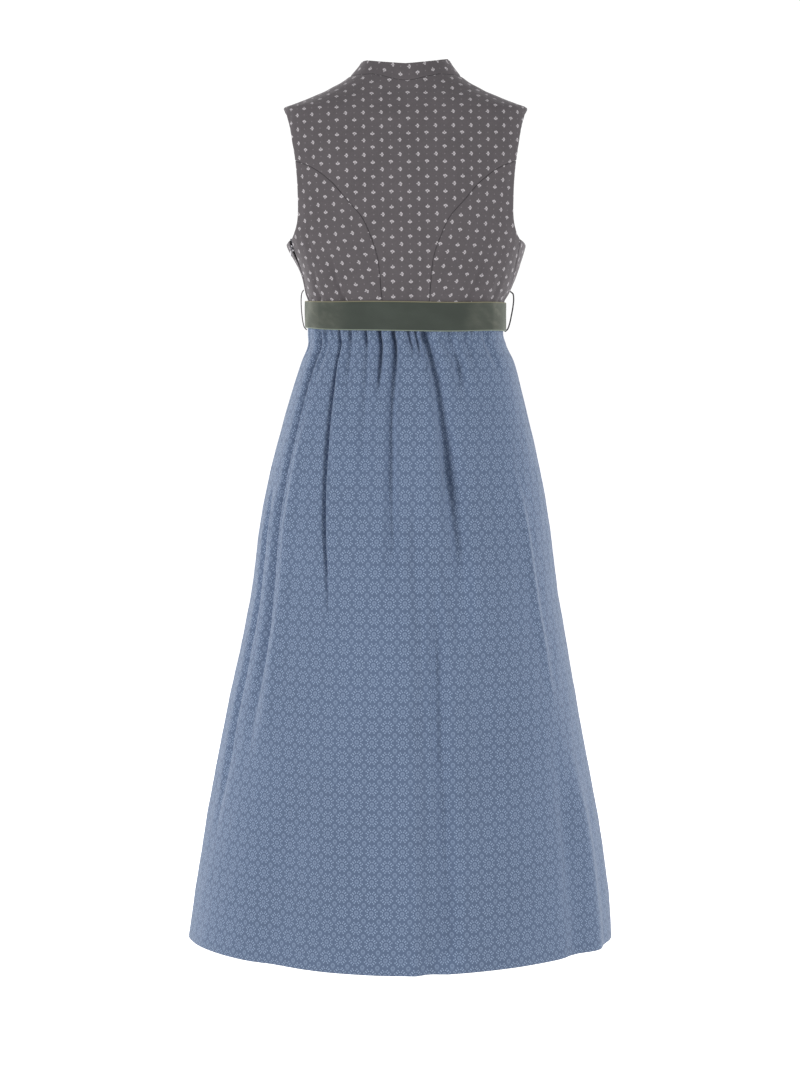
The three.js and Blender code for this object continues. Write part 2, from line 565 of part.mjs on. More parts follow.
// Joins closed geometries into one.
const library = await Module();
library.setup();
function joined(geometries) {
  const solids = geometries.map((geometry) => {
    const bare = geometry.index ? geometry.toNonIndexed() : geometry.clone();
    bare.deleteAttribute("normal");
    bare.deleteAttribute("uv");
    const merged = mergeVertices(bare, 1e-4);
    return new library.Manifold(new library.Mesh({
      numProp: 3,
      vertProperties: Float32Array.from(merged.attributes.position.array),
      triVerts: Uint32Array.from(merged.index.array),
    }));
  });
  const mesh = solids.reduce((whole, solid) => whole.add(solid)).getMesh();
  const geometry = new THREE.BufferGeometry();
  geometry.setAttribute("position", new THREE.Float32BufferAttribute(mesh.vertProperties, 3));
  geometry.setIndex(Array.from(mesh.triVerts));
  return geometry;
}

// Slider and pull, hung where the zip starts under the arm. The pull's cross bar runs through the slider's eye.
{
  const z = ZIP.sliderZ;
  const edge = sideSeam.reduce((best, p) => (Math.abs(p.z - z) < Math.abs(best.z - z) ? p : best));
  const angle = edge.angle + zipGapAt(z) / 2 / widthAt(bodicePoint, edge);
  const normal = outward(bodicePoint, angle, z);
  const sideways = new THREE.Vector3().crossVectors(normal, new THREE.Vector3(0, 0, 1)).normalize();
  const upward = new THREE.Vector3().crossVectors(sideways, normal).normalize();
  const seat = bodicePoint(angle, z).addScaledVector(normal, -ZIP.sink - BODICE_WALL + SEAM_GAP);

  // Local axes: X sideways, Y out of the cloth, Z up along the zip.
  const slider = new THREE.Group();
  slider.position.copy(seat);
  slider.quaternion.setFromRotationMatrix(new THREE.Matrix4().makeBasis(sideways, normal, upward));
  const body = new THREE.BoxGeometry(SLIDER.width, SLIDER.depth, SLIDER.length);
  body.translate(0, SLIDER.depth / 2, 0);
  const eyeHeight = SLIDER.depth + SLIDER.eyeRise;
  const arch = new THREE.Shape();
  arch.moveTo(-SLIDER.archOuter, SLIDER.depth - 0.4);
  arch.lineTo(SLIDER.archOuter, SLIDER.depth - 0.4);
  arch.lineTo(SLIDER.archOuter, eyeHeight);
  arch.absarc(0, eyeHeight, SLIDER.archOuter, 0, Math.PI);
  arch.closePath();
  arch.holes.push(new THREE.Path().absarc(0, eyeHeight, SLIDER.eye, 0, 2 * Math.PI));
  const bridge = new THREE.ExtrudeGeometry(arch, { depth: SLIDER.archWidth, bevelEnabled: false, curveSegments: 8 });
  bridge.translate(0, 0, -SLIDER.archWidth / 2);
  bridge.rotateY(Math.PI / 2);
  add("zip_slider", joined([body, bridge]), ZIP_METAL, slider);
  dress.add(slider);

  // Local axes: X sideways along the cross bar, Z up. The tab hangs plumb.
  const hinge = new THREE.Group();
  hinge.position.copy(seat).addScaledVector(normal, eyeHeight);
  hinge.quaternion.setFromRotationMatrix(new THREE.Matrix4().makeBasis(
    sideways, new THREE.Vector3(0, 0, 1).cross(sideways), new THREE.Vector3(0, 0, 1)));
  const half = PULL.width / 2;
  const tab = new THREE.Shape();
  tab.moveTo(-half, PULL.bar);
  tab.lineTo(-half, -PULL.length * 0.6);
  tab.absarc(0, -PULL.length + PULL.tipRadius, PULL.tipRadius, Math.PI, 2 * Math.PI);
  tab.lineTo(half, -PULL.length * 0.6);
  tab.lineTo(half, PULL.bar);
  tab.closePath();
  const windowHole = [[-1, -PULL.bar], [1, -PULL.bar], [1, -PULL.windowEnd], [-1, -PULL.windowEnd]];
  tab.holes.push(new THREE.Path(windowHole.map(([x, y]) => new THREE.Vector2(x * PULL.windowHalf, y))));
  const plate = new THREE.ExtrudeGeometry(tab, { depth: PULL.wall, bevelEnabled: false, curveSegments: 8 });
  plate.translate(0, 0, -PULL.wall / 2);
  plate.rotateX(Math.PI / 2);
  add("zip_pull", plate, ZIP_METAL, hinge);
  dress.add(hinge);
}

export default dress;
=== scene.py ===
import math
import bpy
import numpy as np
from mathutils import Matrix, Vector


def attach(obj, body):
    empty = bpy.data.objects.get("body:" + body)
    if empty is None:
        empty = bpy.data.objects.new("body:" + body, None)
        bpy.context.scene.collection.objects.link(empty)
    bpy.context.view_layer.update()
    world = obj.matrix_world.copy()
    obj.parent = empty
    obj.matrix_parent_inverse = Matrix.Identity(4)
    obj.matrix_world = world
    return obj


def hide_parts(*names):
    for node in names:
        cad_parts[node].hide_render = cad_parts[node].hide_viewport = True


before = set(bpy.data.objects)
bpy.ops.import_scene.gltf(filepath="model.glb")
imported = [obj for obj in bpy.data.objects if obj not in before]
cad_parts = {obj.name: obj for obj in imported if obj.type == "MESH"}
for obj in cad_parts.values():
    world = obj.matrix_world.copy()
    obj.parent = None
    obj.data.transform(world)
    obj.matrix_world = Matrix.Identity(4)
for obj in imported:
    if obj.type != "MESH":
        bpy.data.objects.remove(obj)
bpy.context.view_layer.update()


# Camera
# It looks at the back from belt height, 3.6 m away and tipped slightly down, so that the whole dress fills
# the photograph's height. The 40 mm ribbon is 30 pixels high there, which sets the scale.
EYE = Vector((0.0073, 3.6, -0.325))
AIM = Vector((0.0073, 0.0, -0.601))
METRES_PER_PIXEL = 0.0013333
PHOTO_HEIGHT = 1065
SENSOR = 36.0
bpy.ops.object.select_all(action="DESELECT")
bpy.ops.object.camera_add(location=EYE)
camera = bpy.context.object
camera.name = "camera"
camera.rotation_euler = (AIM - EYE).to_track_quat("-Z", "Y").to_euler()
camera.data.sensor_width = SENSOR
camera.data.lens = SENSOR * (AIM - EYE).length / METRES_PER_PIXEL / PHOTO_HEIGHT
camera.data.clip_end = 60
bpy.context.scene.camera = camera


# Studio
# A pale floor lies where a wearer would stand. Soft boxes at about belt height light the back from both sides
# of the camera, and two weaker ones light the front. The surroundings are white to look at and dim as light,
# so that the folds keep their shade.
FLOOR_Z = -1.42
FLOOR_SIZE = 40.0
FLOOR_PAINT = {"Base Color": (0.93, 0.93, 0.93, 1.0), "Roughness": 0.9, "Specular IOR Level": 0.1,
               "Emission Color": (1.0, 1.0, 1.0, 1.0), "Emission Strength": 0.9}
SURROUNDING_LIGHT = 0.36
SURROUNDING_WHITE = 1.05
SOFT_BOXES = {  # name: (place, aim, width, power in watts)
    "left": ((3.4, 2.1, -0.2), (0.0, 0.0, -0.6), 1.5, 98.0),
    "right": ((-3.4, 2.2, -0.5), (0.0, 0.0, -0.6), 1.8, 90.0),
    "front_left": ((2.6, -2.8, 0.0), (0.0, 0.0, -0.6), 1.8, 62.0),
    "front_right": ((-2.6, -2.8, -0.2), (0.0, 0.0, -0.6), 1.8, 47.0),
}
bpy.context.scene.view_settings.view_transform = "Standard"
world = bpy.data.worlds.new("studio")
bpy.context.scene.world = world
world.use_nodes = True
seen = world.node_tree.nodes.new("ShaderNodeLightPath").outputs["Is Camera Ray"]
strength = world.node_tree.nodes.new("ShaderNodeMapRange")
strength.inputs["To Min"].default_value = SURROUNDING_LIGHT
strength.inputs["To Max"].default_value = SURROUNDING_WHITE
background = world.node_tree.nodes["Background"]
background.inputs["Color"].default_value = (1.0, 1.0, 1.0, 1.0)
world.node_tree.links.new(seen, strength.inputs["Value"])
world.node_tree.links.new(strength.outputs["Result"], background.inputs["Strength"])
for name, (place, aim, width, power) in SOFT_BOXES.items():
    bpy.ops.object.light_add(type="AREA", location=place)
    lamp = bpy.context.object
    lamp.name = name
    lamp.rotation_euler = (Vector(aim) - Vector(place)).to_track_quat("-Z", "Y").to_euler()
    lamp.data.size = width
    lamp.data.energy = power
bpy.ops.mesh.primitive_plane_add(size=FLOOR_SIZE, location=(0, 0, FLOOR_Z))
floor = bpy.context.object
floor.name = "floor"
paint = bpy.data.materials.new("pale_floor")
paint.use_nodes = True
for socket, value in FLOOR_PAINT.items():
    paint.node_tree.nodes["Principled BSDF"].inputs[socket].default_value = value
floor.data.materials.append(paint)
floor.visible_diffuse = False


# Bodice
# Seven panels of fine printed cotton, each sewn as one with its lining: a back cut on the fold, two side
# backs, two fronts and two side fronts. The seams curve from the armholes to the waist and shape the bust.
# Every panel starts as a flat grid, is laid on the form that the solids have, and gets its thickness inwards.
MM = 0.001
WAIST_Z = -314.0
SHOULDER_TIP_Z = -40.0
TORSO_ROUNDNESS = 2.3
TORSO = [  # height, half width, reach of the back, reach of the front, how far forward the widest line lies
    (24, 60, 56, 40, 0), (0, 74, 58, 45, 0), (-4, 79, 60, 47, 0), (-9, 86.5, 62, 49, 0),
    (-14, 96, 64, 51, 0), (-20, 107, 66, 54, 0), (-25, 119, 69, 56, 0), (-30, 131, 72, 58, 0),
    (-36, 147, 75, 60, 0), (-41, 160, 77, 62, 0), (-46, 163, 80, 64, 0), (-60, 166, 86, 69, 2),
    (-90, 167, 95, 80, 6), (-120, 166, 100, 90, 10), (-160, 164, 103, 101, 16), (-200, 163, 102, 109, 20),
    (-220, 160, 101, 113, 20), (-245, 152.5, 99, 114, 16), (-265, 145.5, 97, 111, 12),
    (-284, 137, 95, 106, 6), (-296, 130.6, 94, 103.6, 1), (-340, 129, 93.4, 103.4, 0),
]
# Folds are valleys pressed into a form, or ridges where the depth is negative. Columns: angle at the top and
# at the lower end, heights of both ends, depth, half width at both ends, shares over which it comes in and
# goes out. Angles run from the centre back (0) past the wearer's left (90) to the centre front (180).
BODICE_FOLDS = [
    (38, 34.5, -222, -316, 4.5, 7, 4.5, 0.5, 0.06), (57, 55, -262, -316, 3.5, 5, 5, 0.6, 0.06),
    (-39, -35, -215, -316, 3, 8, 6, 0.5, 0.06), (-56, -57, -250, -316, 2.5, 6, 6, 0.5, 0.06),
    (-12, -3.5, -165, -308, 3, 11, 8, 0.4, 0.2), (0, 0, -52, -96, 2, 70, 70, 0.5, 0.5),
    (138, 146, -262, -316, 3, 6, 5, 0.5, 0.06), (-138, -147, -266, -316, 3, 6, 5, 0.5, 0.06),
]
BODICE_CREASES = [  # finer than the solids: short gathers over the belt, and drag lines from the armholes
    (66, 67, -280, -312, 2.2, 2.2, 2.6, 0.5, 0.05), (48, 46.5, -276, -312, 1.6, 2.4, 2.6, 0.5, 0.05),
    (28, 27, -284, -312, 1.4, 2.4, 2.6, 0.6, 0.05), (17, 16, -288, -312, 1.2, 2.6, 3, 0.6, 0.05),
    (-20, -19, -282, -312, 1.3, 2.6, 3, 0.6, 0.05), (-47, -46, -272, -312, 1.8, 2.6, 3, 0.5, 0.05),
    (-66, -68, -276, -312, 1.6, 2.6, 3, 0.5, 0.05), (52, 43, -205, -255, 1.2, 7, 7, 0.5, 0.5),
    (-53, -44, -200, -262, 1.3, 7, 7, 0.5, 0.5), (20, 26, -60, -108, 0.9, 9, 9, 0.5, 0.5),
    (-22, -27, -62, -115, 0.9, 9, 9, 0.5, 0.5), (112, 124, -228, -246, 1.5, 6, 5, 0.5, 0.4),
    (-112, -124, -230, -250, 1.5, 6, 5, 0.5, 0.4), (160, 164, -278, -312, 1.4, 2.6, 3, 0.5, 0.05),
    (-160, -163, -280, -312, 1.4, 2.6, 3, 0.5, 0.05), (120, 122, -280, -312, 1.6, 2.6, 3, 0.5, 0.05),
    (-121, -122, -280, -312, 1.6, 2.6, 3, 0.5, 0.05), (47, 52.5, -187, -262, 1.5, 1.7, 1.7, 0.3, 0.3),
    (50.6, 60.5, -244, -314, 3.6, 1.5, 1.7, 0.5, 0.03), (24, 30.5, -214, -280, 1.1, 2.2, 2.0, 0.4, 0.4),
    (29, 36.2, -260, -314, 3.6, 1.5, 1.7, 0.6, 0.03), (-37, -30, -250, -314, 1.6, 3.2, 3.2, 0.4, 0.05),
]
CUP = {"x": 82, "z": -242, "height": 20, "wide": 50, "tall": 46, "foot": -282}
ZIP_DENT = {"angle": 88, "z": -258, "depth": 9.5, "wide": 26, "tall": 30}


def mix(a, b, t):
    return a + (b - a) * t


def smooth(x, low, high):
    t = np.clip((x - low) / (high - low), 0, 1)
    return t * t * (3 - 2 * t)


def cubic(first, last, slope_first, slope_last, t):
    """A cubic from one value to another, with its slopes over the whole step."""
    return (first * (1 + 2 * t) * (1 - t) ** 2 + slope_first * t * (1 - t) ** 2
            + last * t * t * (3 - 2 * t) + slope_last * t * t * (t - 1))


def reader(rows):
    """Reads a table at any height: a monotone cubic through each column, so that no value overshoots."""
    table = np.array(sorted(rows), float)
    x = table[:, 0]
    secant = np.diff(table, axis=0) / np.diff(x)[:, None]
    before, after = secant[:-1], secant[1:]
    agree = before * after > 0
    middle = np.where(agree, 2 * before * after / np.where(agree, before + after, 1), 0)
    slope = np.vstack([secant[:1], middle, secant[-1:]])

    def read(z):
        z = np.clip(z, x[0], x[-1])
        i = np.clip(np.searchsorted(x, z) - 1, 0, len(x) - 2)
        step = (x[i + 1] - x[i])[:, None]
        t = (z - x[i])[:, None] / step
        return cubic(table[i], table[i + 1], slope[i] * step, slope[i + 1] * step, t).T

    return read


torso_at = reader(TORSO)


def ring(angle, z, half, back, front, roundness, forward=0.0, shift=0.0):
    """Points of a superellipse section."""
    sine, cosine = np.sin(np.radians(angle)), np.cos(np.radians(angle))
    reach = np.where(cosine >= 0, back + forward, front - forward)
    return np.stack([half * np.sign(sine) * np.abs(sine) ** (2 / roundness) + shift,
                     reach * np.sign(cosine) * np.abs(cosine) ** (2 / roundness) - forward, z], axis=-1)


def turn_between(angle, other):
    return np.mod(angle - other + 180, 360) - 180


def fold_depth(folds, angle, z, mm_per_degree):
    total = np.zeros_like(angle)
    for start, finish, top, end, depth, wide_top, wide_end, comes_in, goes_out in folds:
        t = (top - z) / (top - end)
        here = np.where((t >= 0) & (t <= 1))[0]
        t = t[here]
        off = turn_between(angle[here], mix(start, finish, t)) * mm_per_degree[here]
        share = smooth(t, 0, comes_in + 1e-6) * (1 - smooth(t, 1 - goes_out, 1 + 1e-9))
        total[here] += depth * share * np.exp(-(off / mix(wide_top, wide_end, t)) ** 2)
    return total


def hill(dx, dy):
    return np.exp(-(dx * dx + dy * dy))


def bodice_form(angle, z):
    """Points of the bodice's outside, in millimetres."""
    level_z, half, back, front, forward = torso_at(z)
    point = ring(angle, level_z, half, back, front, TORSO_ROUNDNESS, forward)
    inward = np.stack([-point[:, 0] / half, -point[:, 1] / back], axis=-1)
    inward /= np.linalg.norm(inward, axis=1)[:, None]
    dent = ZIP_DENT["depth"] * hill(turn_between(angle, ZIP_DENT["angle"]) / ZIP_DENT["wide"],
                                    (z - ZIP_DENT["z"]) / ZIP_DENT["tall"])
    depth = fold_depth(BODICE_FOLDS + BODICE_CREASES, angle, z, half * math.pi / 180) + dent
    point[:, :2] += inward * depth[:, None]
    cup = CUP["height"] * hill((np.abs(point[:, 0]) - CUP["x"]) / CUP["wide"], (z - CUP["z"]) / CUP["tall"])
    facing = np.clip(-2 * np.cos(np.radians(angle)), 0, 1)
    point[:, 1] -= cup * facing * smooth(z, CUP["foot"], CUP["z"])
    return point


def outward(form, angle, z):
    """The outward direction of a form. It turns level at the waist seam, as the solids' edges do."""
    across = form(angle + 0.35, z) - form(angle - 0.35, z)
    up = form(angle, z + 1.2) - form(angle, z - 1.2)
    normal = np.cross(up, across)
    normal /= np.linalg.norm(normal, axis=1)[:, None]
    normal[:, 2] *= smooth(np.abs(z - WAIST_Z), 1, 12)
    return normal / np.linalg.norm(normal, axis=1)[:, None]


def lengths_along(line):
    """Lengths from a line's start to each of its points."""
    return np.concatenate([[0], np.cumsum(np.linalg.norm(np.diff(line, axis=0), axis=1))])


def read_between(at, run, places):
    """Places at given lengths along a line, between its own."""
    return np.stack([np.interp(at, run, column) for column in places.T], axis=-1)


def curve_through(places, steps):
    """A centripetal curve through places, as evenly spaced points."""
    places = np.array(places, float)
    step = np.linalg.norm(np.diff(places, axis=0), axis=1)[:, None] ** 0.5
    secant = np.diff(places, axis=0) / step
    middle = (secant[:-1] * step[1:] + secant[1:] * step[:-1]) / (step[:-1] + step[1:])
    slope = np.vstack([secant[:1], middle, secant[-1:]])
    x = np.linspace(0, len(step), 60 * len(step) + 1)
    i = np.clip(x.astype(int), 0, len(step) - 1)
    line = cubic(places[i], places[i + 1], slope[i] * step[i], slope[i + 1] * step[i], (x - i)[:, None])
    run = lengths_along(line)
    return read_between(np.linspace(0, run[-1], steps + 1), run, line)


def angle_of(x, z):
    """The angle at which a section reaches a distance from the middle."""
    half = torso_at(np.atleast_1d(np.asarray(z, float)))[1]
    return np.degrees(np.arcsin(np.minimum(1, x / half) ** (TORSO_ROUNDNESS / 2)))


def level(start, finish, steps):
    return mix(np.array(start, float), np.array(finish, float), np.linspace(0, 1, steps + 1)[:, None])


def mirrored(curve):
    return curve * (-1, 1)


NECK = {"half": 73, "back": 62, "front": 72}


def neck_edge(turns):
    """Where upright lines at the neck hole's points meet the form. Turns run round the hole as angles do."""
    cosine = np.cos(np.radians(turns))
    x = NECK["half"] * np.abs(np.sin(np.radians(turns)))
    y = np.where(cosine >= 0, NECK["back"], NECK["front"]) * np.abs(cosine)
    low, high = np.full_like(turns, -120.0), np.zeros_like(turns)
    for _ in range(40):
        z = (low + high) / 2
        _z, half, back, front, _forward = torso_at(z)
        reach = np.where(cosine >= 0, back, front)
        inside = (x / half) ** TORSO_ROUNDNESS + (y / reach) ** TORSO_ROUNDNESS < 1
        low, high = np.where(inside, z, low), np.where(inside, high, z)
    angle = angle_of(x, low)
    angle = np.where(cosine >= 0, angle, 180 - angle)
    return np.stack([np.where(turns < 0, -angle, angle), low], axis=-1)


# Seams and edges on the wearer's left, with FINE points to one step of the solids' edges
FINE = 6
ZIP_GAP = {"top": 10, "waist": 3.4, "bottom": -296}
back_seam = curve_through([(angle_of(x, z)[0], z) for x, z in (
    (31, WAIST_Z), (33, -265), (37, -235), (46, -209), (57, -186), (77, -163), (95, -142), (116, -125),
    (131, -117), (144.5, -112))], 11 * FINE)
front_seam = curve_through([(180 - angle_of(x, z)[0], z) for x, z in (
    (60, WAIST_Z), (71, -280), (81, -245), (88, -215), (100, -180), (118, -150), (132, -134),
    (139, -127))], 11 * FINE)
side_seam = curve_through([(80, WAIST_Z), (78, -290), (74, -262), (69.5, -236), (67, -213)], 11 * FINE)
shoulder_tip = (90, SHOULDER_TIP_Z)
back_armhole_top = curve_through(
    [back_seam[-1], (59.6, -96), (64.6, -66), (72.2, -49), shoulder_tip], 5 * FINE)
back_armhole_low = curve_through([side_seam[-1], (62.5, -206), (58.4, -190), (57.2, -155), (57.3, -130),
                                  back_seam[-1]], 8 * FINE)
front_armhole_top = curve_through(
    [front_seam[-1], (121, -96), (116, -66), (108.5, -50), shoulder_tip], 5 * FINE)
shoulder = np.stack([np.full(5 * FINE + 1, 90.0),
                     SHOULDER_TIP_Z * (1 - np.linspace(0, 1, 5 * FINE + 1) ** 0.9)], axis=-1)


def zip_gap_at(z):
    return mix(ZIP_GAP["waist"], ZIP_GAP["top"], smooth(z, ZIP_GAP["bottom"], side_seam[-1, 1]))


def width_at(form, places):
    """Millimetres to a degree."""
    angle, z = places[:, 0], places[:, 1]
    return np.linalg.norm(form(angle + 0.5, z) - form(angle - 0.5, z), axis=1)


zip_front_edge = side_seam + np.stack(
    [zip_gap_at(side_seam[:, 1]) / width_at(bodice_form, side_seam), np.full(len(side_seam), -2.0)], axis=-1)
zip_front_edge[0, 1] = WAIST_Z


def evened(edge):
    """The same edge, with its points evenly spaced on the form."""
    run = lengths_along(bodice_form(*edge.T))
    return read_between(np.linspace(0, run[-1], len(edge)), run, edge)


# Patches between four edges: bottom and top run left to right as seen from outside, left and right run up
def centre_back_patch():
    left = np.vstack([back_seam, back_armhole_top[1:], shoulder[1:]])
    neck = neck_edge(np.linspace(90, 0, 10 * FINE + 1))
    neck[0] = left[-1]
    neck = evened(neck)
    top = np.vstack([neck, mirrored(neck)[-2::-1]])
    return level(left[0], mirrored(left)[0], 20 * FINE), top, left, mirrored(left)


def side_back_patch():
    return level(side_seam[0], back_seam[0], 8 * FINE), back_armhole_low, side_seam, back_seam


def centre_front_patch():
    right = np.vstack([front_seam, front_armhole_top[1:], shoulder[1:]])
    neck = neck_edge(np.linspace(180, 90, 10 * FINE + 1))
    neck[-1] = right[-1]
    neck = evened(neck)
    middle = level((180, WAIST_Z), neck[0], len(right) - 1)
    return level(middle[0], right[0], 10 * FINE), neck, middle, right


def side_front_patch(back_edge):
    armhole = curve_through([back_edge[-1], (84, -219), (98, -218.5), (111, -208), (118, -188), (121.5, -160),
                             front_seam[-1]], 8 * FINE)
    return level(front_seam[0], back_edge[0], 8 * FINE), armhole[::-1], front_seam, back_edge


def mirrored_patch(patch):
    bottom, top, left, right = [mirrored(edge) for edge in patch]
    return bottom[::-1], top[::-1], right, left


def read_edge(edge, share):
    return read_between(share, np.linspace(0, 1, len(edge)), edge)


def places_on(patch, s, t):
    """Places on a patch: s runs from left to right, t from bottom to top."""
    bottom, top, left, right = patch
    across, up = s[:, None], t[:, None]
    corners = mix(mix(bottom[0], bottom[-1], across), mix(top[0], top[-1], across), up)
    return (mix(read_edge(bottom, s), read_edge(top, s), up)
            + mix(read_edge(left, t), read_edge(right, t), across) - corners)


def flat_grid(name, columns, rows):
    """A flat grid to lay out as cloth, with its points' shares across and up."""
    bpy.ops.object.select_all(action="DESELECT")
    bpy.ops.mesh.primitive_grid_add(x_subdivisions=columns, y_subdivisions=rows, size=2)
    piece = bpy.context.object
    piece.name = piece.data.name = name
    flat = np.empty(len(piece.data.vertices) * 3)
    piece.data.vertices.foreach_get("co", flat)
    return piece, (flat[0::3] + 1) / 2, (flat[1::3] + 1) / 2


def lay(piece, points, print_mm, to_seam=None):
    """Puts a flat grid's points in place, its print by real lengths, and its way to a seam."""
    piece.data.vertices.foreach_set("co", (points * MM).ravel())
    if to_seam is not None:
        piece.data.attributes.new("to_seam", "FLOAT", "POINT").data.foreach_set("value", to_seam)
    vertex_of_corner = np.empty(len(piece.data.loops), np.int32)
    piece.data.loops.foreach_get("vertex_index", vertex_of_corner)
    piece.data.uv_layers[0].data.foreach_set("uv", (print_mm[vertex_of_corner] * MM).ravel())
    piece.data.update()


def apply_modifiers(piece):
    bpy.ops.object.select_all(action="DESELECT")
    piece.select_set(True)
    bpy.context.view_layer.objects.active = piece
    for modifier in list(piece.modifiers):
        bpy.ops.object.modifier_apply(modifier=modifier.name)


def round_edges(piece, radius, segments, from_angle, smooth_to_angle):
    """Rounds edges sharper than an angle, applies the piece's modifiers and shades it smooth."""
    edge = piece.modifiers.new("edge", "BEVEL")
    edge.width = radius * MM
    edge.segments = segments
    edge.limit_method = "ANGLE"
    edge.angle_limit = math.radians(from_angle)
    apply_modifiers(piece)
    bpy.ops.object.shade_smooth_by_angle(angle=math.radians(smooth_to_angle))


def thicken(piece, thickness, edge_radius=0.35):
    """Gives cloth its thickness inwards and rounds its edges. The inside takes the last material."""
    wall = piece.modifiers.new("wall", "SOLIDIFY")
    wall.thickness = thickness * MM
    wall.offset = -1
    wall.material_offset = len(piece.data.materials) - 1
    round_edges(piece, edge_radius, 2, 55, 50)


def finish_with(piece, *materials):
    """Gives a piece its materials. Cloth has its right side's first."""
    piece.data.materials.clear()
    for material in materials:
        piece.data.materials.append(material)


def declare(piece, node):
    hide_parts(node)
    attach(piece, "dress")


def way_to(points, line):
    """How far each point is from the nearest point of a line."""
    nearest = np.full(len(points), np.inf)
    for place in line:
        nearest = np.minimum(nearest, np.linalg.norm(points - place, axis=1))
    return nearest


def crowded(s, amount=0.85):
    """Moves a grid's columns towards both edges, where the seams roll."""
    return s - amount * np.sin(2 * math.pi * s) / (2 * math.pi)


def ripple(angle, z):
    """The slight unevenness of cloth that no fold accounts for, in millimetres."""
    return (0.22 * np.sin(angle * 0.31 + z * 0.021 + 1.3) * np.sin(z * 0.047 + angle * 0.11)
            + 0.16 * np.sin(angle * 0.83 - z * 0.035) * np.sin(z * 0.083 + 0.7)
            + 0.1 * np.sin(angle * 1.9 + z * 0.06 + 2.1) * np.sin(z * 0.13 - angle * 0.37))


def length_across(form, reference, angle, z, steps=24):
    """Lengths round the form from a reference angle to each place, growing to the right seen from outside."""
    total = np.zeros_like(angle)
    before = form(np.full_like(angle, reference), z)
    for share in np.linspace(0, 1, steps + 1)[1:]:
        point = form(mix(reference, angle, share), z)
        total += np.linalg.norm(point - before, axis=1)
        before = point
    return total * np.sign(reference - angle)


def length_up(form, angle, z):
    """Lengths up the form at one angle, for places at given heights."""
    heights = np.linspace(z.min(), z.max(), 80)
    return np.interp(z, heights, lengths_along(form(np.full_like(heights, angle), heights)))


SHOULDER_FOOT = -60.0


def places_on_cloth(middle, angle, z):
    """Lengths across and up a bodice panel. Above the shoulders' foot it runs up and over, not round."""
    at_front = np.abs(angle) > 90
    x = torso_at(z)[1] * np.abs(np.sin(np.radians(angle))) ** (2 / TORSO_ROUNDNESS)
    below = angle_of(x, SHOULDER_FOOT)
    below = np.sign(angle) * np.where(at_front, 180 - below, below)
    low, high = np.minimum(z, SHOULDER_FOOT), np.maximum(z, SHOULDER_FOOT)
    across = length_across(bodice_form, middle, np.where(z > SHOULDER_FOOT, below, angle), low)
    up = length_up(bodice_form, middle, low)
    before = None
    for share in np.linspace(0, 1, 25):
        height = mix(SHOULDER_FOOT, high, share)
        _z, half, back, front, _forward = torso_at(height)
        y = np.where(at_front, front, back) * (1 - np.minimum(1, x / half) ** TORSO_ROUNDNESS) ** (
            1 / TORSO_ROUNDNESS)
        if before is not None:
            up += np.hypot(height - before[0], y - before[1])
        before = (height, y)
    return np.stack([across, up], axis=-1)


# A material is a tree of nodes. A wrapped socket takes arithmetic, and every other node comes from node().
class Socket:
    def __init__(self, finish, socket):
        self.finish, self.socket = finish, socket

    def calc(self, operation, *values):
        return self.finish.node("ShaderNodeMath", {"operation": operation}, *values)

    def __add__(self, other):
        return self.calc("ADD", self, other)

    def __sub__(self, other):
        return self.calc("SUBTRACT", self, other)

    def __rsub__(self, other):
        return self.calc("SUBTRACT", other, self)

    def __mul__(self, other):
        return self.calc("MULTIPLY", self, other)

    def __truediv__(self, other):
        return self.calc("DIVIDE", self, other)

    def __pow__(self, other):
        return self.calc("POWER", self, other)

    __radd__ = __add__
    __rmul__ = __mul__

    def size(self):
        return self.calc("ABSOLUTE", self)

    def sine(self):
        return self.calc("SINE", self)

    def cosine(self):
        return self.calc("COSINE", self)

    def floor(self):
        return self.calc("FLOOR", self)

    def either(self, other):
        return self.calc("MAXIMUM", self, other)

    def wrapped(self, half_period):
        """The distance from the middle of the repeat that it lies in."""
        return self.calc("WRAP", self, half_period, -half_period)

    def rises(self, low, high):
        """0 below low, 1 above high, smooth between."""
        return self.finish.node("ShaderNodeMapRange", {"interpolation_type": "SMOOTHSTEP"}, self, low, high)

    def falls(self, low, high):
        return 1 - self.rises(low, high)


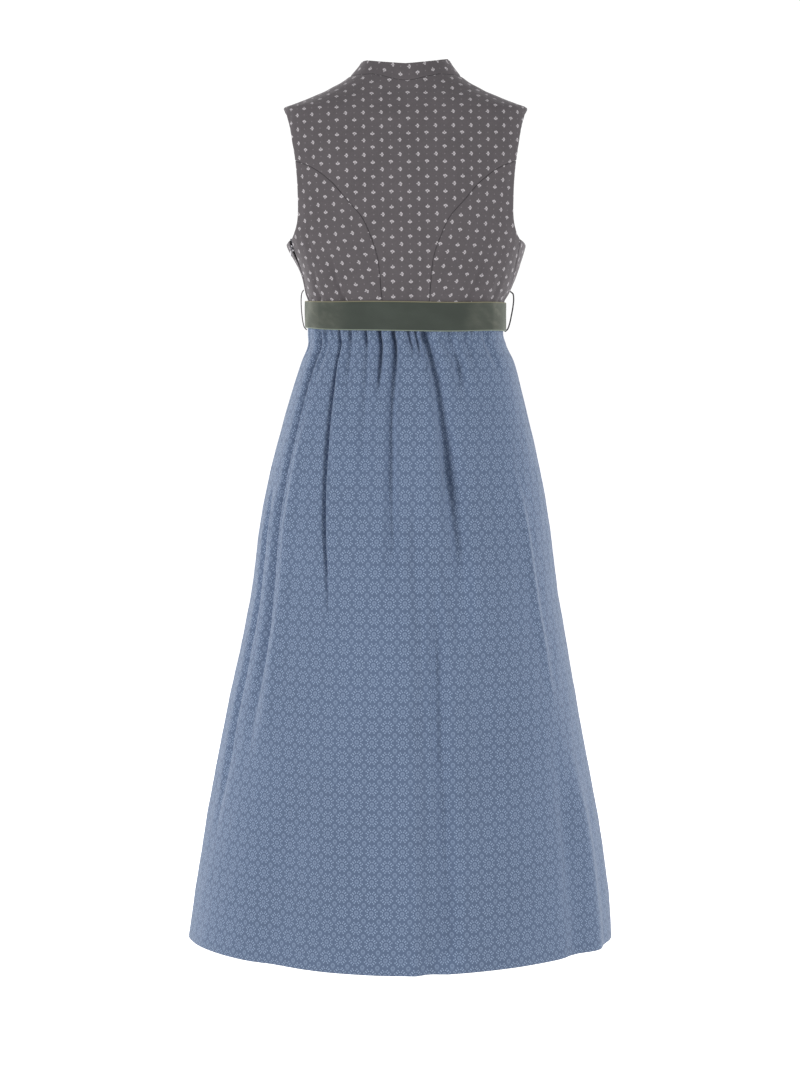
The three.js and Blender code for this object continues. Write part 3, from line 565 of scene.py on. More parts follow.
class Finish:
    def __init__(self, name):
        self.material = bpy.data.materials.new(name)
        self.material.use_nodes = True
        self.tree = self.material.node_tree
        self.shader = self.tree.nodes["Principled BSDF"]

    def plug(self, socket, value):
        if isinstance(value, Socket):
            self.tree.links.new(value.socket, socket)
        elif socket.type == "RGBA":
            socket.default_value = (*value, 1.0)
        else:
            socket.default_value = value

    def node(self, kind, settings, *values, output=0, **named):
        made = self.tree.nodes.new(kind)
        for key, value in settings.items():
            setattr(made, key, value)
        for socket, value in zip(made.inputs, values):
            self.plug(socket, value)
        for key, value in named.items():
            self.plug(made.inputs[key.replace("_", " ")], value)
        return Socket(self, made.outputs[output])

    def blend(self, share, first, second):
        """A colour between two."""
        made = self.tree.nodes.new("ShaderNodeMix")
        made.data_type = "RGBA"
        for index, value in ((0, share), (6, first), (7, second)):
            self.plug(made.inputs[index], value)
        return Socket(self, made.outputs[2])

    def on_cloth(self):
        """Lengths across and up the cloth, in millimetres."""
        uv = self.node("ShaderNodeUVMap", {"uv_map": "UVMap"})
        split = self.node("ShaderNodeSeparateXYZ", {}, uv)
        return split * 1000, Socket(self, split.socket.node.outputs[1]) * 1000

    def painted_seam_shade(self, reach_mm):
        """Painted shade along seams and edges: 1 in the line of a seam, 0 from a given distance on."""
        to_seam = self.node("ShaderNodeAttribute", {"attribute_name": "to_seam"}, output=2)
        return to_seam.falls(0.1, reach_mm)

    def stretched(self, across, up, x_size, y_size, lean=0.0):
        """Cloth coordinates for a pattern that is longer one way, with its sizes in millimetres."""
        return self.node("ShaderNodeCombineXYZ", {}, (across + up * lean) / x_size, up / y_size, 0.0)

    def noise(self, scale, detail=2.0, where=None):
        """Noise from 0 to 1, in object coordinates unless given others."""
        where = where or self.node("ShaderNodeTexCoord", {}, output=3)
        return self.node("ShaderNodeTexNoise", {}, Vector=where, Scale=scale, Detail=detail)

    def bump(self, height, depth_mm, strength=1.0):
        return self.node("ShaderNodeBump", {}, Strength=strength, Distance=depth_mm * MM, Height=height)

    def principled(self, **sockets):
        for key, value in sockets.items():
            self.plug(self.shader.inputs[key.replace("_", " ")], value)
        return self.material


def srgb(*levels):
    """A colour as it reads on a screen, as the share of light it sends back."""
    return tuple(((c / 255 + 0.055) / 1.055) ** 2.4 if c > 10 else c / 255 / 12.92 for c in levels)


def shade(colour, share):
    return tuple(c * share for c in colour)


def distance(x, y):
    return (x * x + y * y) ** 0.5


def weave(across, up, pitch):
    """Threads over and under each other: 0 in the gaps, 1 on the crowns."""
    turn = 2 * math.pi / pitch
    return ((across * turn).sine() * (up * turn).sine()) * 0.5 + 0.5


def repeat_cell(across, up, period, shift):
    """The place within one repeat of a print, from its middle, and a mask of every second repeat."""
    x, y = across + shift * period[0], up + shift * period[1]
    order = (x / period[0] + 0.5).floor() + (y / period[1] + 0.5).floor()
    every_second = (order * 0.5).wrapped(0.5).size().rises(0.2, 0.3)
    return x.wrapped(period[0] / 2), y.wrapped(period[1] / 2), every_second


# The print is a small pale sprig in half-drop rows: three round leaves and a pointed stalk, turned one way in
# one row and two other ways in the next, with a faint dot midway between neighbours.
SPRIG_REPEAT = (23.2, 19.2)
SPRIG_TURNS = ((0.0, 0.0, 0.15), (0.5, -1.57, 1.4))
BODICE_GREY = srgb(92, 87, 90)
SPRIG_PALE = srgb(206, 201, 205)
DOT_GREY = srgb(150, 145, 149)
# The grey of the painted shade in the grooves of seams and edges
SEAM_SHADE_GREY = srgb(46, 43, 46)
LINING_GREY = srgb(96, 92, 97)


def sprig(x, y, turn):
    """Three leaves round a dark eye, and a stalk, 6 mm in all."""
    along = x * turn.cosine() + y * turn.sine()
    beside = (y * turn.cosine() - x * turn.sine()).size()
    leaf_ahead = distance(along - 1.55, beside).falls(0.7, 1.3)
    leaves = leaf_ahead.either(distance(along - 0.5, beside - 1.5).falls(0.95, 1.5))
    stalk = distance((along + 1.3) * 0.5, beside).falls(0.35, 0.9)
    return leaves.either(stalk) * (1 - 0.75 * distance(along - 0.45, beside).falls(0.35, 0.95))


def printed_cotton():
    cotton = Finish("printed_bodice_cotton")
    across, up = cotton.on_cloth()
    cells = [repeat_cell(across, up, SPRIG_REPEAT, shift) for shift, _first, _second in SPRIG_TURNS]
    sprigs = [sprig(x, y, first + (second - first) * mask)
              for (x, y, mask), (_shift, first, second) in zip(cells, SPRIG_TURNS)]
    motifs = sprigs[0].either(sprigs[1])
    dots = [distance(cells[i][0], cells[1 - i][1]).falls(0.45, 1.05) for i in (1, 0)]
    slubs = cotton.noise(420)
    tone = cotton.noise(30, 3).rises(0.3, 0.7)
    ground = cotton.blend(tone, shade(BODICE_GREY, 0.95), shade(BODICE_GREY, 1.05))
    ground = cotton.blend(slubs.rises(0.35, 0.75) * 0.25, ground, shade(BODICE_GREY, 1.25))
    ground = cotton.blend(dots[0].either(dots[1]) * 0.5, ground, DOT_GREY)
    body = cotton.blend(motifs * (0.78 + 0.15 * slubs), ground, SPRIG_PALE)
    height = weave(across, up, 0.62) * 0.7 + slubs * 0.6 + motifs * 0.25
    # Along seams and edges the cotton is painted darker: painted shade in their grooves.
    return cotton.principled(
        Base_Color=cotton.blend(cotton.painted_seam_shade(0.95) * 0.75, body, SEAM_SHADE_GREY),
        Roughness=0.84 - 0.08 * motifs, Normal=cotton.bump(height, 0.12, 0.5), Specular_IOR_Level=0.25,
        Sheen_Weight=0.25, Sheen_Roughness=0.5, Sheen_Tint=(0.95, 0.9, 0.93))


def plain_lining():
    lining = Finish("bodice_lining")
    across, up = lining.on_cloth()
    tone = lining.noise(60, 3).rises(0.3, 0.7)
    return lining.principled(
        Base_Color=lining.blend(tone, shade(LINING_GREY, 0.92), LINING_GREY), Roughness=0.8,
        Normal=lining.bump(weave(across, up, 0.5), 0.08, 0.5), Specular_IOR_Level=0.3, Sheen_Weight=0.15)


bodice_cotton = printed_cotton()
bodice_lining = plain_lining()
BODICE_WALL = 1.3
ROLL = {"depth": 0.8, "width": 1.0}
PUCKER = {"depth": 0.2, "reach": 6.0}
EDGE_SAMPLES = 700
side_back = side_back_patch()
centre_front = centre_front_patch()
# node: piece, patch, columns and rows, angle of its middle, turn of its grain, print start, estimated size
# and area of its cut
BODICE_PANELS = {
    "bodice_centre_back": (
        "centre_back_panel", centre_back_patch(), (112, 112), 0, -1, (4, 3), (0.35, 0.34), 0.083),
    "bodice_side_back_left": ("side_back_left", side_back, (48, 60), 45, -2, (9, 7), (0.17, 0.22), 0.024),
    "bodice_side_back_right": (
        "side_back_right", mirrored_patch(side_back), (48, 60), -45, 2, (2, 12), (0.17, 0.22), 0.024),
    "bodice_centre_front_left": (
        "centre_front_left", centre_front, (52, 104), 160, 2, (5, 2), (0.18, 0.36), 0.042),
    "bodice_centre_front_right": (
        "centre_front_right", mirrored_patch(centre_front), (52, 104), -160, -2, (12, 5),
        (0.18, 0.36), 0.042),
    "bodice_side_front_left": (
        "side_front_left", side_front_patch(zip_front_edge), (48, 60), 115, 9, (3, 6), (0.18, 0.22), 0.026),
    "bodice_side_front_right": (
        "side_front_right", mirrored_patch(side_front_patch(side_seam)), (48, 60), -115, -9, (8, 1),
        (0.18, 0.22), 0.026),
}
for node, (name, patch, (columns, rows), middle, turn, start, flat, area) in BODICE_PANELS.items():
    panel, s, t = flat_grid(name, columns, rows)
    s, t = crowded(s), 1 - (1 - t) ** 1.3
    angle, z = places_on(patch, s, t).T
    points = bodice_form(angle, z)
    edges = [bodice_form(*read_edge(edge, np.linspace(0, 1, EDGE_SAMPLES)).T) for edge in patch[1:]]
    to_top, to_left, to_right = [way_to(points, edge) for edge in edges]
    to_seam = np.minimum(to_left, to_right)
    to_edge = np.minimum(to_seam, to_top)
    roll = ROLL["depth"] * np.exp(-(to_edge / ROLL["width"]) ** 2)
    pucker = PUCKER["depth"] * np.exp(-to_seam / PUCKER["reach"]) * np.sin(z * 1.15 + 3 * np.sin(z * 0.21))
    lift = ripple(angle, z) + pucker - roll
    grain = places_on_cloth(middle, angle, z)
    cosine, sine = math.cos(math.radians(turn)), math.sin(math.radians(turn))
    # The way to the seams sets where the cotton is painted darker as seam shade.
    lay(panel, points + outward(bodice_form, angle, z) * lift[:, None],
        grain @ np.array([[cosine, sine], [-sine, cosine]]) + start, to_seam)
    finish_with(panel, bodice_cotton, bodice_lining)
    thicken(panel, BODICE_WALL)
    declare(panel, node)


# Collar
# A stand of two layers of the printed cotton with an interlining, sewn round the neck. It leans in as it
# rises, is seamed at its top edge, and stops short of the centre front with rounded corners.
COLLAR = {"rise": 22.5, "side_drop": 4.6, "left_drop": 1.6, "lean_side": 16.5, "lean_back": 6,
          "lean_front": 8, "corner": 10, "end_turn": 3, "gap": 0.6, "dip": 0.5, "wall": 2.0}
BACK_TOP_EDGE = {"middle": 12.6, "side_climb": 8.4, "tilt": 0.8, "left_drop": 1.2}  # heights
FRONT_PASSES_INTO_BACK = (-0.15, 0.25)  # cosines of the turn
COLLAR_ROLL = {"depth": 0.9, "width": 1.2}
COLLAR_SEAM_SHADE_SPREAD = 1.6
COLLAR_COLUMNS = 300
DEGREE_OF_BAND = 1.25
collar, s, t = flat_grid("collar_band", COLLAR_COLUMNS, 16)
end = 180 - COLLAR["end_turn"]
turns = mix(end, -end, s)
places = neck_edge(turns)
foot = bodice_form(places[:, 0], places[:, 1])
sine, cosine = np.sin(np.radians(turns)), np.cos(np.radians(turns))
lean = mix(COLLAR["lean_side"], np.where(cosine > 0, COLLAR["lean_back"], COLLAR["lean_front"]), cosine ** 2)
cut = np.maximum(0, COLLAR["corner"] - (end - np.abs(turns)) * DEGREE_OF_BAND)
rise = COLLAR["rise"] - COLLAR["corner"] + np.sqrt(COLLAR["corner"] ** 2 - cut ** 2)
at_left = smooth(sine, 0.8, 1.0)
rise -= COLLAR["side_drop"] * sine ** 2 + COLLAR["left_drop"] * at_left
back_rise = (BACK_TOP_EDGE["middle"] + BACK_TOP_EDGE["side_climb"] * np.abs(sine) ** 1.3
             - BACK_TOP_EDGE["tilt"] * sine - BACK_TOP_EDGE["left_drop"] * at_left - foot[:, 2])
rise = mix(rise, back_rise, smooth(cosine, *FRONT_PASSES_INTO_BACK))
wobble = 0.25 * np.sin(turns * 0.11 + 0.8) * t + 0.08 * np.sin(turns * 0.37 + 3 * t)
inset = t * lean + COLLAR_ROLL["depth"] * np.exp(-(t * rise / COLLAR_ROLL["width"]) ** 2) - wobble
height = mix(-COLLAR["dip"], COLLAR["gap"] + rise, t)
points = foot + np.stack([-sine * inset, -cosine * inset, height], axis=-1)
run = lengths_along(foot[:COLLAR_COLUMNS + 1])
print_mm = np.stack([np.interp(s, s[:COLLAR_COLUMNS + 1], run) + 7, t * rise + 2], axis=-1)
# Up from its foot seam the collar is painted darker as seam shade, spread wider here.
lay(collar, points, print_mm, t * rise / COLLAR_SEAM_SHADE_SPREAD)
finish_with(collar, bodice_cotton)
thicken(collar, COLLAR["wall"], 0.7)
declare(collar, "collar")


# Neck placket
# A strip of the printed cotton stitched over the slit at the centre front, which lets a head through. Its
# edges are topstitched, and it closes with three buttons. Its 24 mm are turned into degrees at a place 8
# degrees off the centre front, where a degree is shorter, so it lies 31 mm wide.
PLACKET = {"width": 24, "read_at": 172.0, "top": -76, "bottom": -196, "wall": 1.4, "lift": 0.4}
TOPSTITCH_INSET = 2.0
placket, s, t = flat_grid("neck_placket_strip", 26, 100)
z = mix(PLACKET["bottom"], PLACKET["top"], t)
read_at = np.stack([np.full_like(z, PLACKET["read_at"]), z], axis=-1)
half_turn = PLACKET["width"] / 2 / width_at(bodice_form, read_at)
angle = 180 + half_turn * (1 - 2 * s)
across = (s - 0.5) * PLACKET["width"]
to_end = np.minimum(z - PLACKET["bottom"], PLACKET["top"] - z)
to_edge = np.minimum(PLACKET["width"] / 2 - np.abs(across), to_end)
sewn = 0.3 * np.exp(-((to_edge - TOPSTITCH_INSET) / 0.9) ** 2)
lift = PLACKET["lift"] + PLACKET["wall"] - sewn + 0.12 * np.sin(z * 0.31) * np.cos(across * 0.2)
# The placket's edges are painted darker in the same way, as shade along them.
lay(placket, bodice_form(angle, z) + outward(bodice_form, angle, z) * lift[:, None],
    np.stack([across + 3, z - PLACKET["bottom"]], axis=-1), to_edge)
finish_with(placket, bodice_cotton)
thicken(placket, PLACKET["wall"], 0.4)
declare(placket, "neck_placket")


# Skirt
# A back and a front of lighter printed cotton, cut wider than the waist, gathered into it and joined at the
# sides. The gathers run out downwards into long folds, and the hem is turned up and sewn by hand from inside.
HEM_Z = -1145.0
SKIRT = [  # height, half width, sideways shift, reach of the back, reach of the front
    (-314, 129.6, 0, 93.4, 103.6), (-337, 129.4, 0, 93.8, 104), (-350, 131, -2, 97, 109),
    (-374, 141, -3, 106, 124), (-413, 152.5, -2, 119, 145), (-451, 162.5, -1, 133, 163),
    (-513, 178, 0, 150, 185), (-584, 192, 1, 167, 203), (-683, 205, 1, 186, 220), (-755, 218.5, 2, 197, 230),
    (-845, 236.5, 4, 207, 240), (-1000, 265.5, 4, 221, 252), (-1090, 279, 5, 230, 259),
    (-1145, 285, 7, 235, 262),
]
BACK_FOLDS = [
    (61, 57, -318, -910, 10, 5, 9, 0.04, 0.35), (52, 50, -400, -960, -5, 8, 16, 0.25, 0.4),
    (52, 53, -318, -410, 4, 3.6, 5, 0.2, 0.5), (40.9, 26.6, -318, -740, 8, 1.8, 1.8, 0.06, 0.4),
    (33.2, 29, -318, -430, 4, 3.6, 5, 0.15, 0.5), (22.5, 13.3, -318, -610, 5, 3.8, 9, 0.08, 0.5),
    (14.1, 12, -318, -440, 7, 3.8, 6, 0.15, 0.4), (6.4, 3.5, -318, -730, 9, 4, 10, 0.05, 0.4),
    (-0.5, -2, -318, -370, 4, 3.2, 3.4, 0.25, 0.5), (-4, -6.2, -318, -378, 4.5, 3.2, 3.6, 0.25, 0.5),
    (-9, -20, -318, -590, 13, 4.2, 12, 0.08, 0.3), (-12.6, -20.7, -585, -760, 5, 8, 10, 0.35, 0.5),
    (-2.7, -9.6, -500, -1145, 8, 8, 18, 0.2, 0), (-22.7, -28, -318, -430, 6, 4.6, 8, 0.15, 0.5),
    (-33, -36, -318, -390, 3.5, 4, 5, 0.25, 0.5), (-51, -54, -318, -400, 4, 5, 7, 0.2, 0.5),
    (-27.4, -28, -730, -1010, 5, 20, 26, 0.4, 0.4), (-50.8, -60, -490, -850, -4, 6, 8, 0.3, 0.4),
    (-66, -66, -860, -1145, -7, 14, 20, 0.5, 0), (-57, -56, -840, -1145, 5, 12, 18, 0.5, 0),
    (71, 70, -520, -1010, 7, 6, 9, 0.2, 0.3), (33, 38, -800, -1145, 6, 24, 40, 0.5, 0),
]
FRONT_FOLDS = [
    (128, 124, -440, -1145, 9, 12, 26, 0.3, 0), (158, 156, -500, -1145, 8, 14, 30, 0.3, 0),
    (196, 201, -470, -1145, 9, 13, 28, 0.3, 0), (229, 235, -450, -1145, 9, 12, 26, 0.3, 0),
]
BACK_CREASES = [  # finer than the solids: the small gathers between the folds, and the ridges beside them
    (22.2, 22.4, -318, -362, 3.6, 1.3, 1.8, 0.08, 0.5), (14.0, 13.5, -318, -425, 4.5, 1.3, 2.6, 0.05, 0.6),
    (6.3, 3.8, -318, -450, 4.5, 1.3, 2.6, 0.05, 0.6), (-0.3, -2.9, -318, -374, 3.8, 1.3, 2.0, 0.05, 0.5),
    (-4.1, -5.8, -318, -374, 3.6, 1.2, 1.9, 0.05, 0.5), (-8.5, -7.7, -318, -410, 4.5, 1.4, 2.6, 0.05, 0.4),
    (-10, -19, -365, -590, -3.5, 3.5, 9, 0.2, 0.3), (-16.2, -25, -330, -378, 3, 2.6, 4, 0.3, 0.4),
    (-25, -24.8, -365, -420, 3, 4, 6, 0.3, 0.5), (-39.4, -39.2, -319, -350, 2.6, 1.4, 2, 0.1, 0.5),
    (31.8, 32.8, -319, -356, 2.6, 1.3, 2, 0.1, 0.5), (55, 52.6, -319, -344, 4, 1.4, 2.2, 0.1, 0.5),
    (58, 62.5, -322, -374, 4, 1.6, 2.2, 0.2, 0.3), (62.3, 60.5, -366, -430, 3, 2, 3, 0.3, 0.5),
    (75.8, 81, -322, -376, 3, 2, 3, 0.2, 0.5), (18.4, 18, -319, -346, 2, 1.1, 1.6, 0.1, 0.6),
    (10.2, 10, -319, -344, 2, 1.1, 1.5, 0.1, 0.6), (26.8, 27.2, -319, -350, 2.2, 1.2, 1.8, 0.1, 0.6),
    (2.9, 2.2, -319, -346, 2, 1.1, 1.5, 0.1, 0.6), (-12, -12.6, -319, -340, 2, 1.2, 1.8, 0.1, 0.6),
    (-20, -21, -319, -344, 1.8, 1.4, 2, 0.1, 0.6), (-29, -31, -319, -350, 2, 1.6, 2.4, 0.1, 0.6),
    (-47, -48, -319, -346, 2, 1.8, 2.6, 0.1, 0.6), (-57, -59, -319, -352, 1.8, 1.8, 2.6, 0.1, 0.6),
    (46, 45, -319, -352, 2, 1.4, 2.2, 0.1, 0.6), (36, 35, -319, -340, 1.8, 1.2, 1.8, 0.1, 0.6),
    (5, 2.2, -345, -600, -3, 3.4, 6, 0.2, 0.5), (-7, -15.6, -335, -560, -4, 3.8, 8, 0.15, 0.4),
    (38.6, 25, -335, -590, -3, 3, 6, 0.15, 0.5), (59, 55, -340, -800, -3.4, 3.6, 7, 0.15, 0.5),
    (-30, -46, -520, -640, 1.8, 6, 6, 0.5, 0.5), (-10, -26, -610, -720, 1.6, 7, 7, 0.5, 0.5),
    (20, 10, -700, -860, 1.8, 10, 10, 0.5, 0.5), (-3, -7, -560, -1145, -5, 8, 14, 0.3, 0.0),
    (-10, -15.7, -570, -1145, 9.5, 7.5, 11.5, 0.35, 0.05), (14.5, 9, -400, -640, 3, 4, 8, 0.2, 0.5),
    (-13, -25, -420, -760, 10.5, 8, 11.5, 0.4, 0.5), (23, 14, -400, -620, 2.4, 4, 8, 0.2, 0.5),
]
FRONT_GATHERS = 15
FRONT_CREASES = 24


def front_gather(i):
    waist_angle = 112 + i * 136 / (FRONT_GATHERS - 1) + 2 * math.sin(i * 2.4)
    reach = 110 + 210 * abs(math.sin(i * 1.7))
    depth = 5 + 4 * math.sin(i * 1.1) ** 2
    return waist_angle, 180 + (waist_angle - 180) * 0.86, -318, -318 - reach, depth, 4, 8, 0.1, 0.45


def front_crease(i):
    waist_angle = 108 + i * 144 / (FRONT_CREASES - 1) + 1.6 * math.sin(i * 1.9)
    reach = 25 + 30 * abs(math.sin(i * 2.3))
    return waist_angle, 180 + (waist_angle - 180) * 0.97, -319, -319 - reach, 2.4, 2, 3, 0.1, 0.6


SKIRT_FOLDS = [*BACK_FOLDS, *FRONT_FOLDS, *BACK_CREASES, *(front_gather(i) for i in range(FRONT_GATHERS)),
               *(front_crease(i) for i in range(FRONT_CREASES))]
skirt_at = reader(SKIRT)


def skirt_form(angle, z):
    """Points of the skirt's outside, in millimetres."""
    level_z, half, shift, back, front = skirt_at(z)
    point = ring(angle, level_z, half, back, front, mix(2.2, 1.74, smooth(-z, -WAIST_Z, -HEM_Z)), 0.0, shift)
    inward = np.stack([-(point[:, 0] - shift) / half, -point[:, 1] / back], axis=-1)
    inward /= np.linalg.norm(inward, axis=1)[:, None]
    point[:, :2] += inward * fold_depth(SKIRT_FOLDS, angle, z, math.pi * (half + back) / 360)[:, None]
    return point


# The print is tone on tone: small ringed blossoms in half-drop rows, every second one in a diamond of dots,
# and the others in a soft dark ring and a round of dots. Dots are placed by their way out and aside.
ROSETTE_REPEAT = (19.6, 19.6)
DARK_RING = {"radius": 5.2, "thickness": 3.0, "strength": 0.4}
BLOSSOM_STRENGTH = 0.52
DIAMOND_DOTS = ((6.9, 2.5), (4.8, 4.8))
ROUND_DOTS = ((5.4, 1.45), (3.9, 3.9))
SKIRT_BLUE = srgb(96, 113, 141)
ROSETTE_BLUE = srgb(167, 187, 217)
# A dark blue of the print and its slubs, also the painted shade along the side seams and the hem
DARK_BLUE_AND_SEAM_SHADE = srgb(85, 102, 131)
REVERSE_BLUE = srgb(112, 127, 150)


def ring_mask(from_middle, radius, thickness):
    return (from_middle - radius).size().falls(thickness * 0.3, thickness * 0.75)


def blossom(x, y):
    """A pale ring with four petals round a dark eye, and a soft glow below it."""
    petals = distance(x.size().either(y.size()) - 2.1, x.calc("MINIMUM", x.size(), y.size())).falls(0.5, 1.3)
    glow = distance(x, (y + 1.6) * 0.75).falls(1.2, 3.6) * 0.5
    eye = distance(x, y).falls(0.4, 1.2)
    return ring_mask(distance(x, y), 2.1, 1.3).either(petals).either(glow) * (1 - 0.8 * eye)


def dots_round(x, y, places):
    """Dots round a middle, the same in all eight directions."""
    x, y = x.size(), y.size()
    far, near = x.either(y), x.calc("MINIMUM", x, y)
    dots = [distance(far - out, near - aside).falls(0.5, 1.15) for out, aside in places]
    return dots[0].either(dots[1])


def rosette_cotton():
    cotton = Finish("printed_skirt_cotton")
    across, up = cotton.on_cloth()
    cells = [repeat_cell(across, up, ROSETTE_REPEAT, shift)[:2] for shift in (0.0, 0.5)]
    blossoms = [blossom(x, y) for x, y in cells]
    dark_ring = ring_mask(distance(*cells[0]), DARK_RING["radius"], DARK_RING["thickness"])
    trellis = dots_round(*cells[1], DIAMOND_DOTS).either(dots_round(*cells[0], ROUND_DOTS))
    slubs = cotton.noise(380)
    tone = cotton.noise(9, 3).rises(0.3, 0.7)
    ground = cotton.blend(tone, shade(SKIRT_BLUE, 0.97), shade(SKIRT_BLUE, 1.03))
    ground = cotton.blend(slubs.rises(0.4, 0.75) * 0.25, ground, DARK_BLUE_AND_SEAM_SHADE)
    ground = cotton.blend(dark_ring * DARK_RING["strength"], ground, DARK_BLUE_AND_SEAM_SHADE)
    motifs = (blossoms[0].either(blossoms[1]) * BLOSSOM_STRENGTH).either(trellis)
    body = cotton.blend(motifs * (0.58 + 0.26 * slubs), ground, ROSETTE_BLUE)
    height = weave(across, up, 0.55) * 0.7 + slubs * 0.5 + motifs * 0.2
    # Along the side seams and the hem the cotton is painted darker: painted shade in their grooves.
    return cotton.principled(
        Base_Color=cotton.blend(cotton.painted_seam_shade(1.8) * 0.6, body, DARK_BLUE_AND_SEAM_SHADE),
        Roughness=0.82 - 0.06 * motifs, Normal=cotton.bump(height, 0.11, 0.45), Specular_IOR_Level=0.25,
        Sheen_Weight=0.35, Sheen_Roughness=0.45, Sheen_Tint=(0.88, 0.92, 1.0))


def skirt_reverse():
    cotton = Finish("skirt_cotton_reverse")
    across, up = cotton.on_cloth()
    x, y, _mask = repeat_cell(across, up, ROSETTE_REPEAT, 0.0)
    shows_through = distance(x, y).falls(1.6, 3.4) * 0.35
    return cotton.principled(
        Base_Color=cotton.blend(shows_through, REVERSE_BLUE, ROSETTE_BLUE), Roughness=0.85,
        Normal=cotton.bump(weave(across, up, 0.55), 0.1, 0.5), Specular_IOR_Level=0.25, Sheen_Weight=0.2)


def skirt_side_at(z):
    return mix(80, 87, smooth(-z, -WAIST_Z, 700))


skirt_cotton = rosette_cotton()
skirt_inside = skirt_reverse()
SKIRT_WALL = 1.0
SKIRT_ROWS = 116
SIDE_SEAM_ROLL = {"depth": 0.8, "width": 2.5}
# Millimetres added to the way to the hem, for the painted shade along it
HEM_SHADE = 0.3
SKIRT_PANELS = {  # node: piece, columns, angle of the middle, estimated size and area of its cut
    "skirt_back": ("skirt_back_panel", 380, 0, (0.92, 0.86), 0.66),
    "skirt_front": ("skirt_front_panel", 340, 180, (0.96, 0.88), 0.70),
}
for node, (name, columns, middle, flat, area) in SKIRT_PANELS.items():
    panel, s, t = flat_grid(name, columns, SKIRT_ROWS)
    z = mix(HEM_Z, WAIST_Z, 1 - (1 - t) ** 1.25)
    half_angle = skirt_side_at(z) if middle == 0 else 180 - skirt_side_at(z)
    angle = middle + half_angle * (1 - 2 * s)
    points = skirt_form(angle, z)
    steps = np.linalg.norm(np.diff(points.reshape(SKIRT_ROWS + 1, columns + 1, 3), axis=1), axis=2)
    run = np.concatenate([np.zeros((SKIRT_ROWS + 1, 1)), np.cumsum(steps, axis=1)], axis=1)
    to_seam = np.minimum(run, run[:, -1:] - run).ravel()
    run = (run - run[:, columns // 2:columns // 2 + 1]).ravel()
    roll = SIDE_SEAM_ROLL["depth"] * np.exp(-(to_seam / SIDE_SEAM_ROLL["width"]) ** 2)
    lift = 1.6 * ripple(angle, z) * smooth(-z, 330, 520) - roll
    print_mm = np.stack([run, length_up(skirt_form, middle + 24, z)], axis=-1)
    # The way to the side seams and the hem sets where the skirt is painted darker as shade.
    to_edge = np.minimum(to_seam, z - HEM_Z + HEM_SHADE)
    lay(panel, points + outward(skirt_form, angle, z) * lift[:, None], print_mm, to_edge)
    finish_with(panel, skirt_cotton, skirt_inside)
    thicken(panel, SKIRT_WALL, 0.3)
    declare(panel, node)


# Belt
# A dark green velvet ribbon, 40 mm wide, once round the waist over the gathered seam. Its lower edge is
# raised, so it looks 36 to 39 mm high. Its pile is brushed in patches, and towards the sides these patches
# are
# painted lighter: a painted sheen where the ribbon turns away. Its two edges are woven without pile, and its
# end is lapped and sewn down at the centre front.
BELT = {"width": 40, "wall": 1.4, "half": 132.1, "back": 95.2, "front": 105.9, "forward": 2, "centre": -314.5,
        "tilt": 0.006, "lap": 2.1, "lap_angle": 9}
LOWER_EDGE_RISE = {"everywhere": 1.4, "sides": 2.0, "left_side": 1.2}
BELT_COLUMNS = 420
VELVET_GREEN = srgb(70, 76, 70)
# The lighter green of the painted sheen at the ribbon's sides
BRUSHED_SHEEN_GREEN = srgb(120, 122, 112)
TOP_EDGE_OLIVE = srgb(128, 124, 100)
LOWER_EDGE_GREY = srgb(132, 142, 128)


def velvet_ribbon():
    velvet = Finish("velvet_ribbon")
    across, up = velvet.on_cloth()
    place = velvet.node("ShaderNodeSeparateXYZ", {}, velvet.node("ShaderNodeTexCoord", {}, output=3))
    from_middle = (place * 1000).size()
    # Towards the sides the ribbon is painted lighter in brushed patches: a painted sheen where it turns away.
    sheen_at_sides = from_middle.rises(70, 96) * 0.45 + from_middle.rises(112, 117) * 0.55
    brushed = velvet.noise(1.0, 3, velvet.stretched(across, up, 22, 15, 0.7)).rises(0.4, 0.75)
    clouds = velvet.noise(1.0, 2, velvet.stretched(across, up, 45, 30)).rises(0.35, 0.7)
    pile = velvet.noise(1.0, 2, velvet.stretched(across, up, 0.5, 0.9))
    body = velvet.blend(clouds, VELVET_GREEN, shade(VELVET_GREEN, 1.18))
    body = velvet.blend(sheen_at_sides * (0.4 + 0.6 * brushed), body, BRUSHED_SHEEN_GREEN)
    body = velvet.blend(pile.rises(0.35, 0.7) * 0.25, body, shade(VELVET_GREEN, 0.6))
    body = velvet.blend(up.rises(18.3, 18.8), body, TOP_EDGE_OLIVE)
    body = velvet.blend(up.falls(-18.8, -18.3), body, LOWER_EDGE_GREY)
    edges = up.size().rises(18.2, 18.7)
    height = pile * (1 - edges) + (across * (2 * math.pi / 1.1)).sine() * edges * 0.5
    return velvet.principled(
        Base_Color=body, Roughness=0.9 - 0.2 * edges, Normal=velvet.bump(height, 0.25, 0.5),
        Specular_IOR_Level=0.15, Sheen_Weight=0.55, Sheen_Roughness=0.35, Sheen_Tint=(0.72, 0.78, 0.7))


